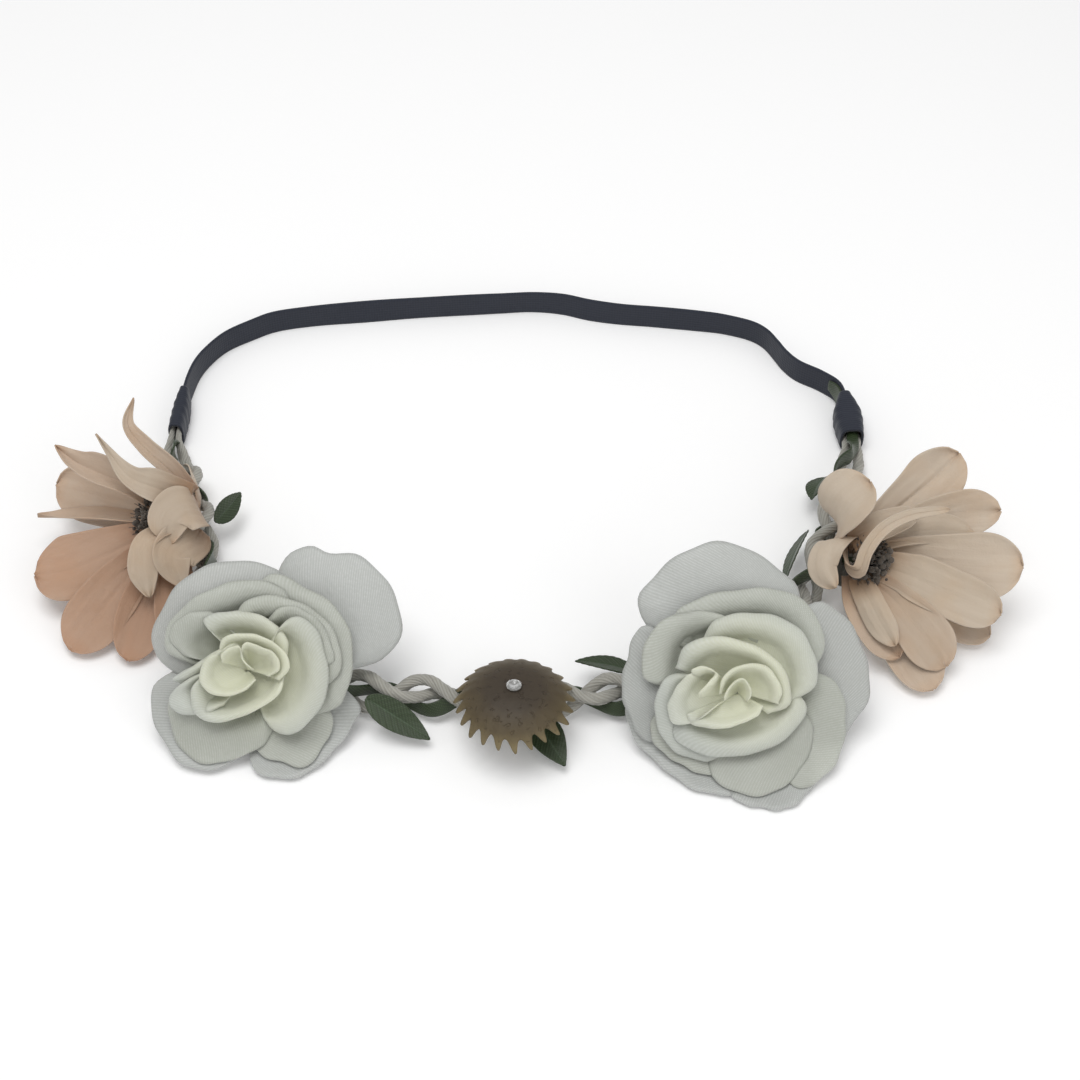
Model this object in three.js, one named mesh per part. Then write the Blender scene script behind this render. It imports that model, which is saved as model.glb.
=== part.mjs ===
// Flower crown: a plait of two cotton cords and a leafy satin ribbon, closed behind by an elastic strap.
// It carries two roses, two open peach flowers and a serrated disc. Millimetres, +Z up.
// It lies flat on Z = 0 with the plait towards -Y and the elastic towards +Y.

import * as THREE from 'three';

// ---- Driving dimensions

const AIR = 0.3; // clearance left between pieces that touch

const STRAP_WIDTH = 8; // elastic, standing on its edge
const STRAP_THICKNESS = 0.9;

const FOLD_LENGTH = 15; // elastic folded round each end of the plait
const FOLD_OUTER = [9, 8]; // across and up
const FOLD_HOLE = [7.6, 5.2];

const CORD_DIAMETER = 3.1;
const RIBBON_WIDTH = 4.4;
const RIBBON_THICKNESS = 0.8;
const PLAIT_PITCH = 48; // one full weave of a strand
const PLAIT_SWING = 3.8; // of a strand up and down
const PLAIT_DEPTH = 2.85; // of a strand in and out
const PLAIT_TAPER = 12; // length over which the strands line up for the folds
const PLAIT_TUCK = 12; // length of plait inside each fold
const PLAIT_STATIONS = 72;

const PETAL_WALL = 0.8;
const GROUND_CLEARANCE = 0.4; // of the lowest petals
const SETTLE_HEIGHT = 7; // below this height petals bend away from the ground

const LEAF_THICKNESS = 0.6;

const DISC_RADIUS = 15.3;
const DISC_RISE = 7;
const DISC_WALL = 1;
const DISC_TEETH = 23;
const TOOTH_LENGTH = 2.8;
const DISC_BORE = 1.1;

const STEM_RADIUS = 0.8; // wire stem through each flower
const WHORL_THROAT = STEM_RADIUS + 0.5;

// ---- Materials

const finish = (color, roughness) => new THREE.MeshStandardMaterial({ color, roughness, metalness: 0 });

const elasticNavy = finish(0x2a2f3a, 0.85);
const cottonWhite = finish(0xd9d5ce, 0.8);
const satinGreen = finish(0x1e3a1c, 0.5);
const satinWhite = finish(0xe4e8df, 0.55);
const satinHeart = finish(0xdfe0b4, 0.55);
const peachOuter = finish(0xf0dccb, 0.75);
const peachInner = finish(0xf2c3a2, 0.75);
const stamenBrown = finish(0x3b3433, 0.9);
const feltGreen = finish(0x45563c, 0.9);
const hotGlue = finish(0xe9e2cf, 0.4);
const wireSteel = new THREE.MeshStandardMaterial({ color: 0x9a9a98, roughness: 0.35, metalness: 0.9 });
const hornBrown = finish(0x4a3418, 0.3);
const clearPlastic = finish(0xd8dadb, 0.15);

// ---- Geometry helpers

const crown = new THREE.Group();

function addPiece(parent, name, geometry, material) {
  const mesh = new THREE.Mesh(geometry, material);
  mesh.name = name;
  parent.add(mesh);
  return mesh;
}

function indexedGeometry(vertices, triangles) {
  const geometry = new THREE.BufferGeometry();
  geometry.setAttribute('position', new THREE.Float32BufferAttribute(vertices, 3));
  geometry.setIndex(triangles);
  geometry.computeVertexNormals();
  return geometry;
}

// A bar: one outline carried through a row of stations {origin, across, up} and capped at both ends.
function sweptBar(stations, outlineAt) {
  const vertices = [];
  const triangles = [];
  const sides = outlineAt(0).length;
  const point = new THREE.Vector3();
  stations.forEach(({ origin, across, up }, row) => {
    for (const [a, b] of outlineAt(row)) {
      point.copy(origin).addScaledVector(across, a).addScaledVector(up, b);
      vertices.push(point.x, point.y, point.z);
    }
  });
  for (let row = 0; row + 1 < stations.length; row += 1) {
    for (let side = 0; side < sides; side += 1) {
      const a = row * sides + side;
      const b = row * sides + (side + 1) % sides;
      triangles.push(a, b, b + sides, a, b + sides, a + sides);
    }
  }
  const last = (stations.length - 1) * sides;
  for (let side = 1; side + 1 < sides; side += 1) {
    triangles.push(0, side + 1, side);
    triangles.push(last, last + side, last + side + 1);
  }
  return indexedGeometry(vertices, triangles);
}

// A closed ring: a loop of [radius, height] points that may change with the angle, joined all round.
function ringSolid(segments, loopAt) {
  const vertices = [];
  const triangles = [];
  const loopLength = loopAt(0).length;
  for (let i = 0; i < segments; i += 1) {
    const angle = (2 * Math.PI * i) / segments;
    for (const [radius, height] of loopAt(angle)) {
      vertices.push(radius * Math.cos(angle), radius * Math.sin(angle), height);
    }
  }
  for (let i = 0; i < segments; i += 1) {
    for (let j = 0; j < loopLength; j += 1) {
      const here = i * loopLength;
      const next = ((i + 1) % segments) * loopLength;
      const k = (j + 1) % loopLength;
      triangles.push(here + j, next + j, next + k, here + j, next + k, here + k);
    }
  }
  return indexedGeometry(vertices, triangles);
}

// A solid of revolution about Z from an open [radius, height] profile, listed from the bottom up.
function turned(profile, segments) {
  const points = profile.map(([radius, height]) => new THREE.Vector2(radius, height));
  return new THREE.LatheGeometry(points, segments).rotateX(Math.PI / 2);
}

const disc = (radius, low, high, segments) => turned([[0, low], [radius, low], [radius, high], [0, high]], segments);

const washer = (bore, radius, low, high, segments) =>
  ringSolid(segments, () => [[bore, low], [radius, low], [radius, high], [bore, high]]);

const smoothstep = (x) => THREE.MathUtils.smoothstep(x, 0, 1);

// ---- Elastic strap and its folds

const foldAt = {
  right: { mouth: new THREE.Vector2(89.3, 43.5), rear: new THREE.Vector2(88.6, 58.5) },
  left: { mouth: new THREE.Vector2(-104.4, 45.5), rear: new THREE.Vector2(-103.7, 60.5) },
};
const FOLD_BASE = 0.3;
const foldCentre = FOLD_BASE + FOLD_OUTER[1] / 2;

const strapRoutes = {
  elastic_right: [[88.55, 58.9], [87.4, 64], [83, 68.5], [76.3, 73.2], [73, 77.5], [70.8, 82], [68.2, 86.8]],
  elastic_back: [
    [68, 87.1], [64.6, 90.2], [56, 93.6], [49, 95], [35, 97], [24, 98.3], [15, 100.2], [7, 102.8],
    [-2, 103.8], [-12, 103.2], [-37, 101.2], [-55, 99.2], [-70, 97.2], [-81, 94.6], [-87, 91.2],
  ],
  elastic_left: [[-87.3, 91], [-94.6, 85.7], [-99.4, 79], [-101.8, 73.5], [-103.1, 67], [-103.7, 60.9]],
};
const STRAP_STEPS = { elastic_right: 14, elastic_back: 34, elastic_left: 14 };

// The strap stands on edge, so its plan outline is two offsets of the route, raised by its width.
function strapGeometry(route, steps) {
  const curve = new THREE.CatmullRomCurve3(route.map(([x, y]) => new THREE.Vector3(x, y, 0)));
  const nearSide = [];
  const farSide = [];
  for (let i = 0; i <= steps; i += 1) {
    const point = curve.getPointAt(i / steps);
    const tangent = curve.getTangentAt(i / steps);
    const half = STRAP_THICKNESS / 2;
    nearSide.push(new THREE.Vector2(point.x - tangent.y * half, point.y + tangent.x * half));
    farSide.unshift(new THREE.Vector2(point.x + tangent.y * half, point.y - tangent.x * half));
  }
  const outline = new THREE.Shape([...nearSide, ...farSide]);
  return new THREE.ExtrudeGeometry(outline, { depth: STRAP_WIDTH, bevelEnabled: false });
}

for (const [name, route] of Object.entries(strapRoutes)) {
  addPiece(crown, name, strapGeometry(route, STRAP_STEPS[name]), elasticNavy);
}

function rectangle(width, height) {
  const [x, y] = [width / 2, height / 2];
  return [[-x, -y], [x, -y], [x, y], [-x, y]].map(([a, b]) => new THREE.Vector2(a, b));
}

for (const [side, { mouth, rear }] of Object.entries(foldAt)) {
  const outline = new THREE.Shape(rectangle(...FOLD_OUTER));
  outline.holes.push(new THREE.Path(rectangle(...FOLD_HOLE)));
  const tube = new THREE.ExtrudeGeometry(outline, { depth: FOLD_LENGTH, bevelEnabled: false });
  const fold = addPiece(crown, `elastic_fold_${side}`, tube, elasticNavy);
  const along = new THREE.Vector3(rear.x - mouth.x, rear.y - mouth.y, 0).normalize();
  const up = new THREE.Vector3(0, 0, 1);
  const across = new THREE.Vector3().crossVectors(up, along);
  fold.quaternion.setFromRotationMatrix(new THREE.Matrix4().makeBasis(across, up, along));
  fold.position.set(mouth.x, mouth.y, foldCentre);
}

// ---- Plait

const plaitRoute = new THREE.CatmullRomCurve3([
  [88.8, 55, foldCentre], [89.3, 44, foldCentre], [87.8, 34, 5.5], [83.5, 21.5, 7], [78.3, 5, 8.3],
  [74.3, -7, 8.3], [68, -20, 7.6], [54.5, -37.5, 6.3], [38, -46, 6], [22, -48.6, 6], [9, -49.4, 5.4],
  [-6, -49.8, 4.9], [-19, -50, 5.4], [-30, -49.2, 6], [-45, -48, 6], [-57, -45.2, 6], [-69.8, -37, 6],
  [-83, -23, 7.5], [-90, -6, 8.2], [-93.2, 11, 8], [-97.8, 24, 6.8], [-103.2, 35.5, 5.2],
  [-104.5, 46, foldCentre], [-103.9, 57, foldCentre],
].map((point) => new THREE.Vector3(...point)), false, 'centripetal');
const plaitLength = plaitRoute.getLength();

const DISC_PINCH = 0.3; // the plait is drawn tighter under the disc
const PINCH_SPAN = 17;
const discStation = plaitLength * 0.5;

// Each strand's turn of the weave, and where it lies in a fold: [in and out, up and down].
const strands = {
  leaf_ribbon: { turn: Math.PI / 2, slot: [0, 1.8] },
  braid_cord_1: { turn: (Math.PI * 7) / 6, slot: [1.9, -0.8] },
  braid_cord_2: { turn: (Math.PI * 11) / 6, slot: [-1.9, -0.8] },
};
const weaveStart = PLAIT_TUCK + PLAIT_TAPER;
const weaveLength = plaitLength - 2 * weaveStart;
const weaveCount = Math.round(weaveLength / PLAIT_PITCH);

function plaitStation(along, turn, slot) {
  const fraction = along / plaitLength;
  const centre = plaitRoute.getPointAt(fraction);
  const tangent = plaitRoute.getTangentAt(fraction);
  const up = new THREE.Vector3(0, 0, 1).addScaledVector(tangent, -tangent.z).normalize();
  const outward = new THREE.Vector3().crossVectors(up, tangent);
  const pinch = 1 - DISC_PINCH * Math.exp(-(((along - discStation) / PINCH_SPAN) ** 2));
  const weave = THREE.MathUtils.clamp((along - weaveStart) / weaveLength, 0, 1);
  const phase = 2 * Math.PI * weaveCount * weave + turn;
  const woven = smoothstep((Math.min(along, plaitLength - along) - PLAIT_TUCK) / PLAIT_TAPER);
  const swing = THREE.MathUtils.lerp(slot[1], PLAIT_SWING * pinch * Math.sin(phase), woven);
  const depth = THREE.MathUtils.lerp(slot[0], PLAIT_DEPTH * Math.sin(2 * phase), woven);
  return { origin: centre.addScaledVector(up, swing).addScaledVector(outward, depth), up, outward, pinch, woven };
}

function strandStations(turn, slot) {
  const stations = [];
  for (let i = 0; i < PLAIT_STATIONS; i += 1) {
    stations.push(plaitStation((plaitLength * i) / (PLAIT_STATIONS - 1), turn, slot));
  }
  stations.forEach((station, i) => {
    const before = stations[Math.max(i - 1, 0)].origin;
    const after = stations[Math.min(i + 1, stations.length - 1)].origin;
    station.along = new THREE.Vector3().subVectors(after, before).normalize();
  });
  return stations;
}

// Inside the folds the ribbon lies flat on the cords; in the plait its faces look in and out.
function squareTo(station) {
  const { along, outward, up, woven } = station;
  const face = new THREE.Vector3().addScaledVector(outward, woven).addScaledVector(up, 1 - woven);
  face.addScaledVector(along, -face.dot(along)).normalize();
  return { origin: station.origin, across: new THREE.Vector3().crossVectors(face, along), up: face };
}

const CORD_SIDES = 8;
const cordOutline = [];
for (let i = 0; i < CORD_SIDES; i += 1) {
  const angle = (2 * Math.PI * (i + 0.5)) / CORD_SIDES;
  cordOutline.push([(CORD_DIAMETER / 2) * Math.cos(angle), (CORD_DIAMETER / 2) * Math.sin(angle)]);
}

for (const [name, { turn, slot }] of Object.entries(strands)) {
  const stations = strandStations(turn, slot);
  const placed = stations.map(squareTo);
  if (name === 'leaf_ribbon') {
    const ribbonOutline = (row) => {
      const half = (RIBBON_WIDTH / 2) * stations[row].pinch ** 1.6;
      const thin = RIBBON_THICKNESS / 2;
      return [[-half, -thin], [half, -thin], [half, thin], [-half, thin]];
    };
    addPiece(crown, name, sweptBar(placed, ribbonOutline), satinGreen);
  } else {
    addPiece(crown, name, sweptBar(placed, () => cordOutline), cottonWhite);
  }
}

// ---- Leaves, die-cut in one with the ribbon and free to bend at their bases

const leaves = {
  leaf_1: { base: [-43.5, -53.9, 10.8], tip: [-27.6, -60, 2], facing: [0.1, -0.6, 0.8], width: 8.6 },
  leaf_2: { base: [-1.8, -56, 5.6], tip: [6.2, -67.8, 1.6], facing: [0.1, -0.3, 0.95], width: 8 },
  leaf_3: { base: [25, -41.4, 5], tip: [9, -40.4, 8.5], facing: [0, 0.35, 0.94], width: 6.5 },
  leaf_4: { base: [-87.4, 8.3, 9.5], tip: [-84, 20, 8], facing: [0.6, 0, 0.8], width: 7 },
  leaf_5: { base: [79.6, 26.6, 6.5], tip: [74.6, 15.4, 9.5], facing: [-0.5, 0.1, 0.86], width: 7 },
  leaf_6: { base: [72.8, 5.8, 7], tip: [64.8, -14, 8.5], facing: [-0.85, 0.2, 0.5], width: 7 },
  leaf_7: { base: [-66, -32.8, 6.5], tip: [-56, -17, 9], facing: [0, 0, 1], width: 8 },
  leaf_8: { base: [46, -36.8, 6.5], tip: [40, -18, 9], facing: [0, 0, 1], width: 8 },
};

function leafGeometry(length, width) {
  const outline = new THREE.Shape();
  outline.moveTo(0, -width * 0.14);
  outline.bezierCurveTo(length * 0.25, -width * 0.6, length * 0.75, -width * 0.6, length, 0);
  outline.bezierCurveTo(length * 0.75, width * 0.6, length * 0.25, width * 0.6, 0, width * 0.14);
  const slab = new THREE.ExtrudeGeometry(outline, { depth: LEAF_THICKNESS, bevelEnabled: false, curveSegments: 8 });
  return slab.translate(0, 0, -LEAF_THICKNESS / 2);
}

for (const [name, { base, tip, facing, width }] of Object.entries(leaves)) {
  const root = new THREE.Vector3(...base);
  const along = new THREE.Vector3(...tip).sub(root);
  const leaf = addPiece(crown, name, leafGeometry(along.length(), width), satinGreen);
  along.normalize();
  const face = new THREE.Vector3(...facing);
  face.addScaledVector(along, -face.dot(along)).normalize();
  const across = new THREE.Vector3().crossVectors(face, along);
  leaf.quaternion.setFromRotationMatrix(new THREE.Matrix4().makeBasis(along, across, face));
  leaf.position.copy(root);
}

// ---- Flowers

// A ring of petals in one piece, lying along height = rise * (radius fraction) ^ curl and notched between lobes.
function petalWhorl({ start, reach, rise, curl, lobes, notch, turn = 0 }) {
  const rows = 3;
  return ringSolid(30, (angle) => {
    const valley = 1 - Math.abs(Math.cos((lobes * (angle - turn)) / 2));
    const span = 1 - notch * valley ** 2;
    const lower = [];
    const upper = [];
    for (let row = 0; row <= rows; row += 1) {
      const f = (span * row) / rows;
      const radius = WHORL_THROAT + (reach - WHORL_THROAT) * f;
      const height = start + rise * f ** curl;
      const slope = (rise * curl * Math.max(f, 0.02) ** (curl - 1)) / (reach - WHORL_THROAT);
      const tilt = 1 / Math.hypot(1, slope);
      lower.push([radius, height]);
      upper.unshift([Math.max(radius - slope * tilt * PETAL_WALL, WHORL_THROAT), height + tilt * PETAL_WALL]);
    }
    return [...lower, ...upper];
  });
}

// Petals that would reach below the ground bend up from it instead.
function settle(mesh) {
  mesh.updateWorldMatrix(true, false);
  const toLocal = mesh.matrixWorld.clone().invert();
  const positions = mesh.geometry.getAttribute('position');
  const point = new THREE.Vector3();
  const depth = SETTLE_HEIGHT - GROUND_CLEARANCE;
  for (let i = 0; i < positions.count; i += 1) {
    point.fromBufferAttribute(positions, i).applyMatrix4(mesh.matrixWorld);
    if (point.z < SETTLE_HEIGHT) {
      point.z = GROUND_CLEARANCE + depth * Math.exp((point.z - SETTLE_HEIGHT) / depth);
    }
    point.applyMatrix4(toLocal);
    positions.setXYZ(i, point.x, point.y, point.z);
  }
}

function flowerGroup({ origin, facing }) {
  const group = new THREE.Group();
  const axis = new THREE.Vector3(...facing).normalize();
  group.quaternion.setFromUnitVectors(new THREE.Vector3(0, 0, 1), axis);
  group.position.set(...origin);
  crown.add(group);
  return group;
}

const PAD = [-2.3, -1.4]; // glue pad, low and high
const CALYX = [-1.1, -0.2];

// The parts behind the petals of every flower: a pad of glue, a felt calyx and the wire stem with its headed end.
function addFlowerBack(group, name, padRadius, calyxRadius, stemTop) {
  addPiece(group, `${name}_glue_pad`, washer(WHORL_THROAT, padRadius, ...PAD, 16), hotGlue);
  addPiece(group, `${name}_calyx`, washer(WHORL_THROAT, calyxRadius, ...CALYX, 20), feltGreen);
  addPiece(group, `${name}_stem`, disc(STEM_RADIUS, PAD[0], stemTop, 10), wireSteel);
}

const roses = {
  rose_left: { origin: [-70, -45.6, 12.4], facing: [0.13, -0.63, 0.77], size: 28.5, turn: 0.9 },
  rose_right: { origin: [50.7, -48.4, 12.9], facing: [-0.1, -0.61, 0.78], size: 31, turn: 0.3 },
};

for (const [name, { origin, facing, size, turn }] of Object.entries(roses)) {
  const group = flowerGroup({ origin, facing });
  addFlowerBack(group, name, 6, 9, 6);
  const layers = {
    outer_petals: { start: 0.2, reach: size, rise: 9.5, curl: 1.3, lobes: 5, notch: 0.16, turn },
    middle_petals: { start: 2, reach: size * 0.76, rise: 13, curl: 1.3, lobes: 5, notch: 0.14, turn: turn + 0.6 },
    inner_petals: { start: 4, reach: size * 0.5, rise: 14, curl: 1.35, lobes: 3, notch: 0.12, turn: turn + 0.2 },
  };
  for (const [layer, shape] of Object.entries(layers)) {
    const material = layer === 'inner_petals' ? satinHeart : satinWhite;
    settle(addPiece(group, `${name}_${layer}`, petalWhorl(shape), material));
  }
  const bud = [[0, 7], [3, 7.6], [6.2, 12], [6.6, 15.5], [5.4, 18], [2.6, 18.6], [0, 17.6]];
  addPiece(group, `${name}_bud`, turned(bud, 16), satinHeart);
}

const peachFlowers = {
  peach_left: { origin: [-97, 1.1, 15.8], facing: [-0.88, -0.35, 0.25], rise: 19.5, turn: 0.4 },
  peach_right: { origin: [80.5, -10.7, 14], facing: [0.79, -0.41, 0.46], rise: 23, turn: 0.1 },
};

for (const [name, { origin, facing, rise, turn }] of Object.entries(peachFlowers)) {
  const group = flowerGroup({ origin, facing });
  addFlowerBack(group, name, 4, 7, 3);
  const layers = {
    outer_petals: { start: 0.2, reach: 31.5, rise, curl: 1.1, lobes: 6, notch: 0.42, turn },
    inner_petals: { start: 2, reach: 25, rise: rise + 1, curl: 1.1, lobes: 5, notch: 0.42, turn: turn + 0.5 },
  };
  for (const [layer, shape] of Object.entries(layers)) {
    const material = layer === 'outer_petals' ? peachOuter : peachInner;
    settle(addPiece(group, `${name}_${layer}`, petalWhorl(shape), material));
  }
  const centre = [[0, 4.4], [3.2, 5.6], [5.6, 9], [5.2, 11.6], [3, 13.2], [0, 13.8]];
  addPiece(group, `${name}_centre`, turned(centre, 14), stamenBrown);
}

// ---- Serrated disc, turning on its pin

const discGroup = new THREE.Group();
discGroup.position.set(-6.4, -56.8, 19);
crown.add(discGroup);

function toothedRim(angle) {
  const phase = (angle * DISC_TEETH) / (2 * Math.PI);
  return DISC_RADIUS - TOOTH_LENGTH * Math.abs(2 * (phase - Math.floor(phase)) - 1);
}

const discShell = ringSolid(DISC_TEETH * 4, (angle) => {
  const rim = toothedRim(angle);
  const lower = [];
  const upper = [];
  const rows = 2;
  for (let row = 0; row <= rows; row += 1) {
    const radius = DISC_BORE + (rim - DISC_BORE) * (row / rows);
    const height = -DISC_RISE * (radius / DISC_RADIUS) ** 2;
    lower.push([radius, height - DISC_WALL]);
    upper.unshift([radius, height]);
  }
  return [...lower, ...upper];
});
addPiece(discGroup, 'serrated_disc', discShell, hornBrown);

const DISC_PAD = [-5.8, -4.4];
const PIN_SHANK = 0.7;
const PIN_HEAD = 2;
const pinProfile = [
  [0, DISC_PAD[0]], [PIN_SHANK, DISC_PAD[0]], [PIN_SHANK, AIR], [PIN_HEAD, AIR + 0.2], [1.6, 1.6], [0, 2.2],
];
addPiece(discGroup, 'disc_pin', turned(pinProfile, 14), clearPlastic);
addPiece(discGroup, 'disc_glue_pad', washer(PIN_SHANK + AIR, 4.2, ...DISC_PAD, 16), hotGlue);

// ---- The origin is the middle of the footprint, on the ground

const bounds = new THREE.Box3().setFromObject(crown, true);
const middle = bounds.getCenter(new THREE.Vector3());
crown.position.set(-middle.x, -middle.y, -bounds.min.z);

export default crown;
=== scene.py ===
import math
import random

import bpy
import numpy as np
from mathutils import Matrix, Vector


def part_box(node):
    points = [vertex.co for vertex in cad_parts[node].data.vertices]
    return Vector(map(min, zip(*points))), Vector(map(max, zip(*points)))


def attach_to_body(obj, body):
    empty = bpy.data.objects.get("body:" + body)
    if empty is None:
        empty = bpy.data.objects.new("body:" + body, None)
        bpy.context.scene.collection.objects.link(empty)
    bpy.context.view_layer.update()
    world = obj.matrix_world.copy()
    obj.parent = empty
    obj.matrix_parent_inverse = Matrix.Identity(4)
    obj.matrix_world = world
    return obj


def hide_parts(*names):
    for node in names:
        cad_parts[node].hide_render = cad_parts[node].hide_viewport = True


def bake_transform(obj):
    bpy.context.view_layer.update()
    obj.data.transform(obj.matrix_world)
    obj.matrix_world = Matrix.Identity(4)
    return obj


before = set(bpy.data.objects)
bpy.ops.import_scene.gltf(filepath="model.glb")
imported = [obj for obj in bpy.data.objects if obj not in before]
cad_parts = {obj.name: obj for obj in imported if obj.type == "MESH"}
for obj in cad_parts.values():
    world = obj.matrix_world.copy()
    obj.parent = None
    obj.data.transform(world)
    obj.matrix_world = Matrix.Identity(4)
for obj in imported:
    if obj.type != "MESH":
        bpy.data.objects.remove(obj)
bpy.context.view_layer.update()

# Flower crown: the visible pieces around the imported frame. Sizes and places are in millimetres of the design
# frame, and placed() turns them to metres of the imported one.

MM = 0.001
UV_MM = 100.0  # millimetres of cloth along one unit of UV
WHITE = (1.0, 1.0, 1.0)
BLACK = (0.0, 0.0, 0.0)

# ---- The design frame: where the disc's pin stands in it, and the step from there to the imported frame

DISC_AXIS = (-6.4, -56.8)
DISC_TOP = 19.0
pin_low, pin_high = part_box("disc_pin")
SHIFT = np.array([
    (pin_low.x + pin_high.x) / 2 / MM - DISC_AXIS[0],
    (pin_low.y + pin_high.y) / 2 / MM - DISC_AXIS[1],
    0.0,
])
GROUND_CLEARANCE = 0.3
SETTLE_HEIGHT = 7.0
UP = np.array([0.0, 0.0, 1.0])
# A flower is laid out in its own directions: RIGHT, RISE up its face and OUT of it.
RIGHT = np.array([1.0, 0.0, 0.0])
RISE = np.array([0.0, 0.743, 0.669])
OUT = np.array([0.0, -0.669, 0.743])


def placed(points):
    """Design-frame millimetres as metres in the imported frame."""
    return (np.asarray(points, float) + SHIFT) * MM


def to_world(origin, local):
    """Points in a flower's own directions, as design-frame points."""
    local = np.asarray(local, float)
    return np.array(origin) + local[..., :1] * RIGHT + local[..., 1:2] * RISE + local[..., 2:] * OUT


def settled(points):
    """Points that would lie under the ground slide forwards and up to lie on it instead."""
    points = np.array(points, float)
    depth = SETTLE_HEIGHT - GROUND_CLEARANCE
    height = np.minimum(points[..., 2], SETTLE_HEIGHT)
    lift = GROUND_CLEARANCE + depth * np.exp((height - SETTLE_HEIGHT) / depth) - height
    return points + OUT * (lift / OUT[2])[..., None]


# ---- Camera, light and floor

CAMERA_ELEVATION = 48.0
CAMERA_DISTANCE = 520.0
CAMERA_TARGET = (0.0, 0.0, 10.0)
LENS = 64.4
SENSOR_WIDTH = 36.0
SKY_STRENGTH = 0.5
# Each light: its place and the side of its square in metres, and its power in watts.
LIGHTS = {
    "key": ((-0.12, -0.12, 1.0), 0.6, 5.2),
    "fill": ((0.55, -0.75, 0.55), 0.9, 2.0),
}
FLOOR_SIDE = 6.0


def add_camera():
    data = bpy.data.cameras.new("camera")
    data.lens = LENS
    data.sensor_width = SENSOR_WIDTH
    camera = bpy.data.objects.new("camera", data)
    angle = math.radians(CAMERA_ELEVATION)
    back = np.array([0.0, -math.cos(angle), math.sin(angle)])
    camera.location = placed(np.array(CAMERA_TARGET) + back * CAMERA_DISTANCE)
    camera.rotation_euler = (math.pi / 2 - angle, 0.0, 0.0)
    bpy.context.collection.objects.link(camera)
    bpy.context.scene.camera = camera


def add_light(name, location, side, power):
    data = bpy.data.lights.new(name, "AREA")
    data.shape = "SQUARE"
    data.size = side
    data.energy = power
    light = bpy.data.objects.new(name, data)
    light.location = location
    light.rotation_euler = (-Vector(location)).to_track_quat("-Z", "Y").to_euler()
    bpy.context.collection.objects.link(light)


def add_stage():
    world = bpy.data.worlds.new("studio")
    world.use_nodes = True
    background = world.node_tree.nodes["Background"]
    background.inputs["Color"].default_value = rgba(WHITE)
    background.inputs["Strength"].default_value = SKY_STRENGTH
    bpy.context.scene.world = world
    bpy.context.scene.view_settings.view_transform = "Standard"
    for name, light in LIGHTS.items():
        add_light(name, *light)
    bpy.ops.mesh.primitive_plane_add(size=FLOOR_SIDE)
    floor = bpy.context.object
    floor.name = "floor"
    floor.data.materials.append(floor_material())


# ---- Materials

def rgba(color):
    return (*color, 1.0)


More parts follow.
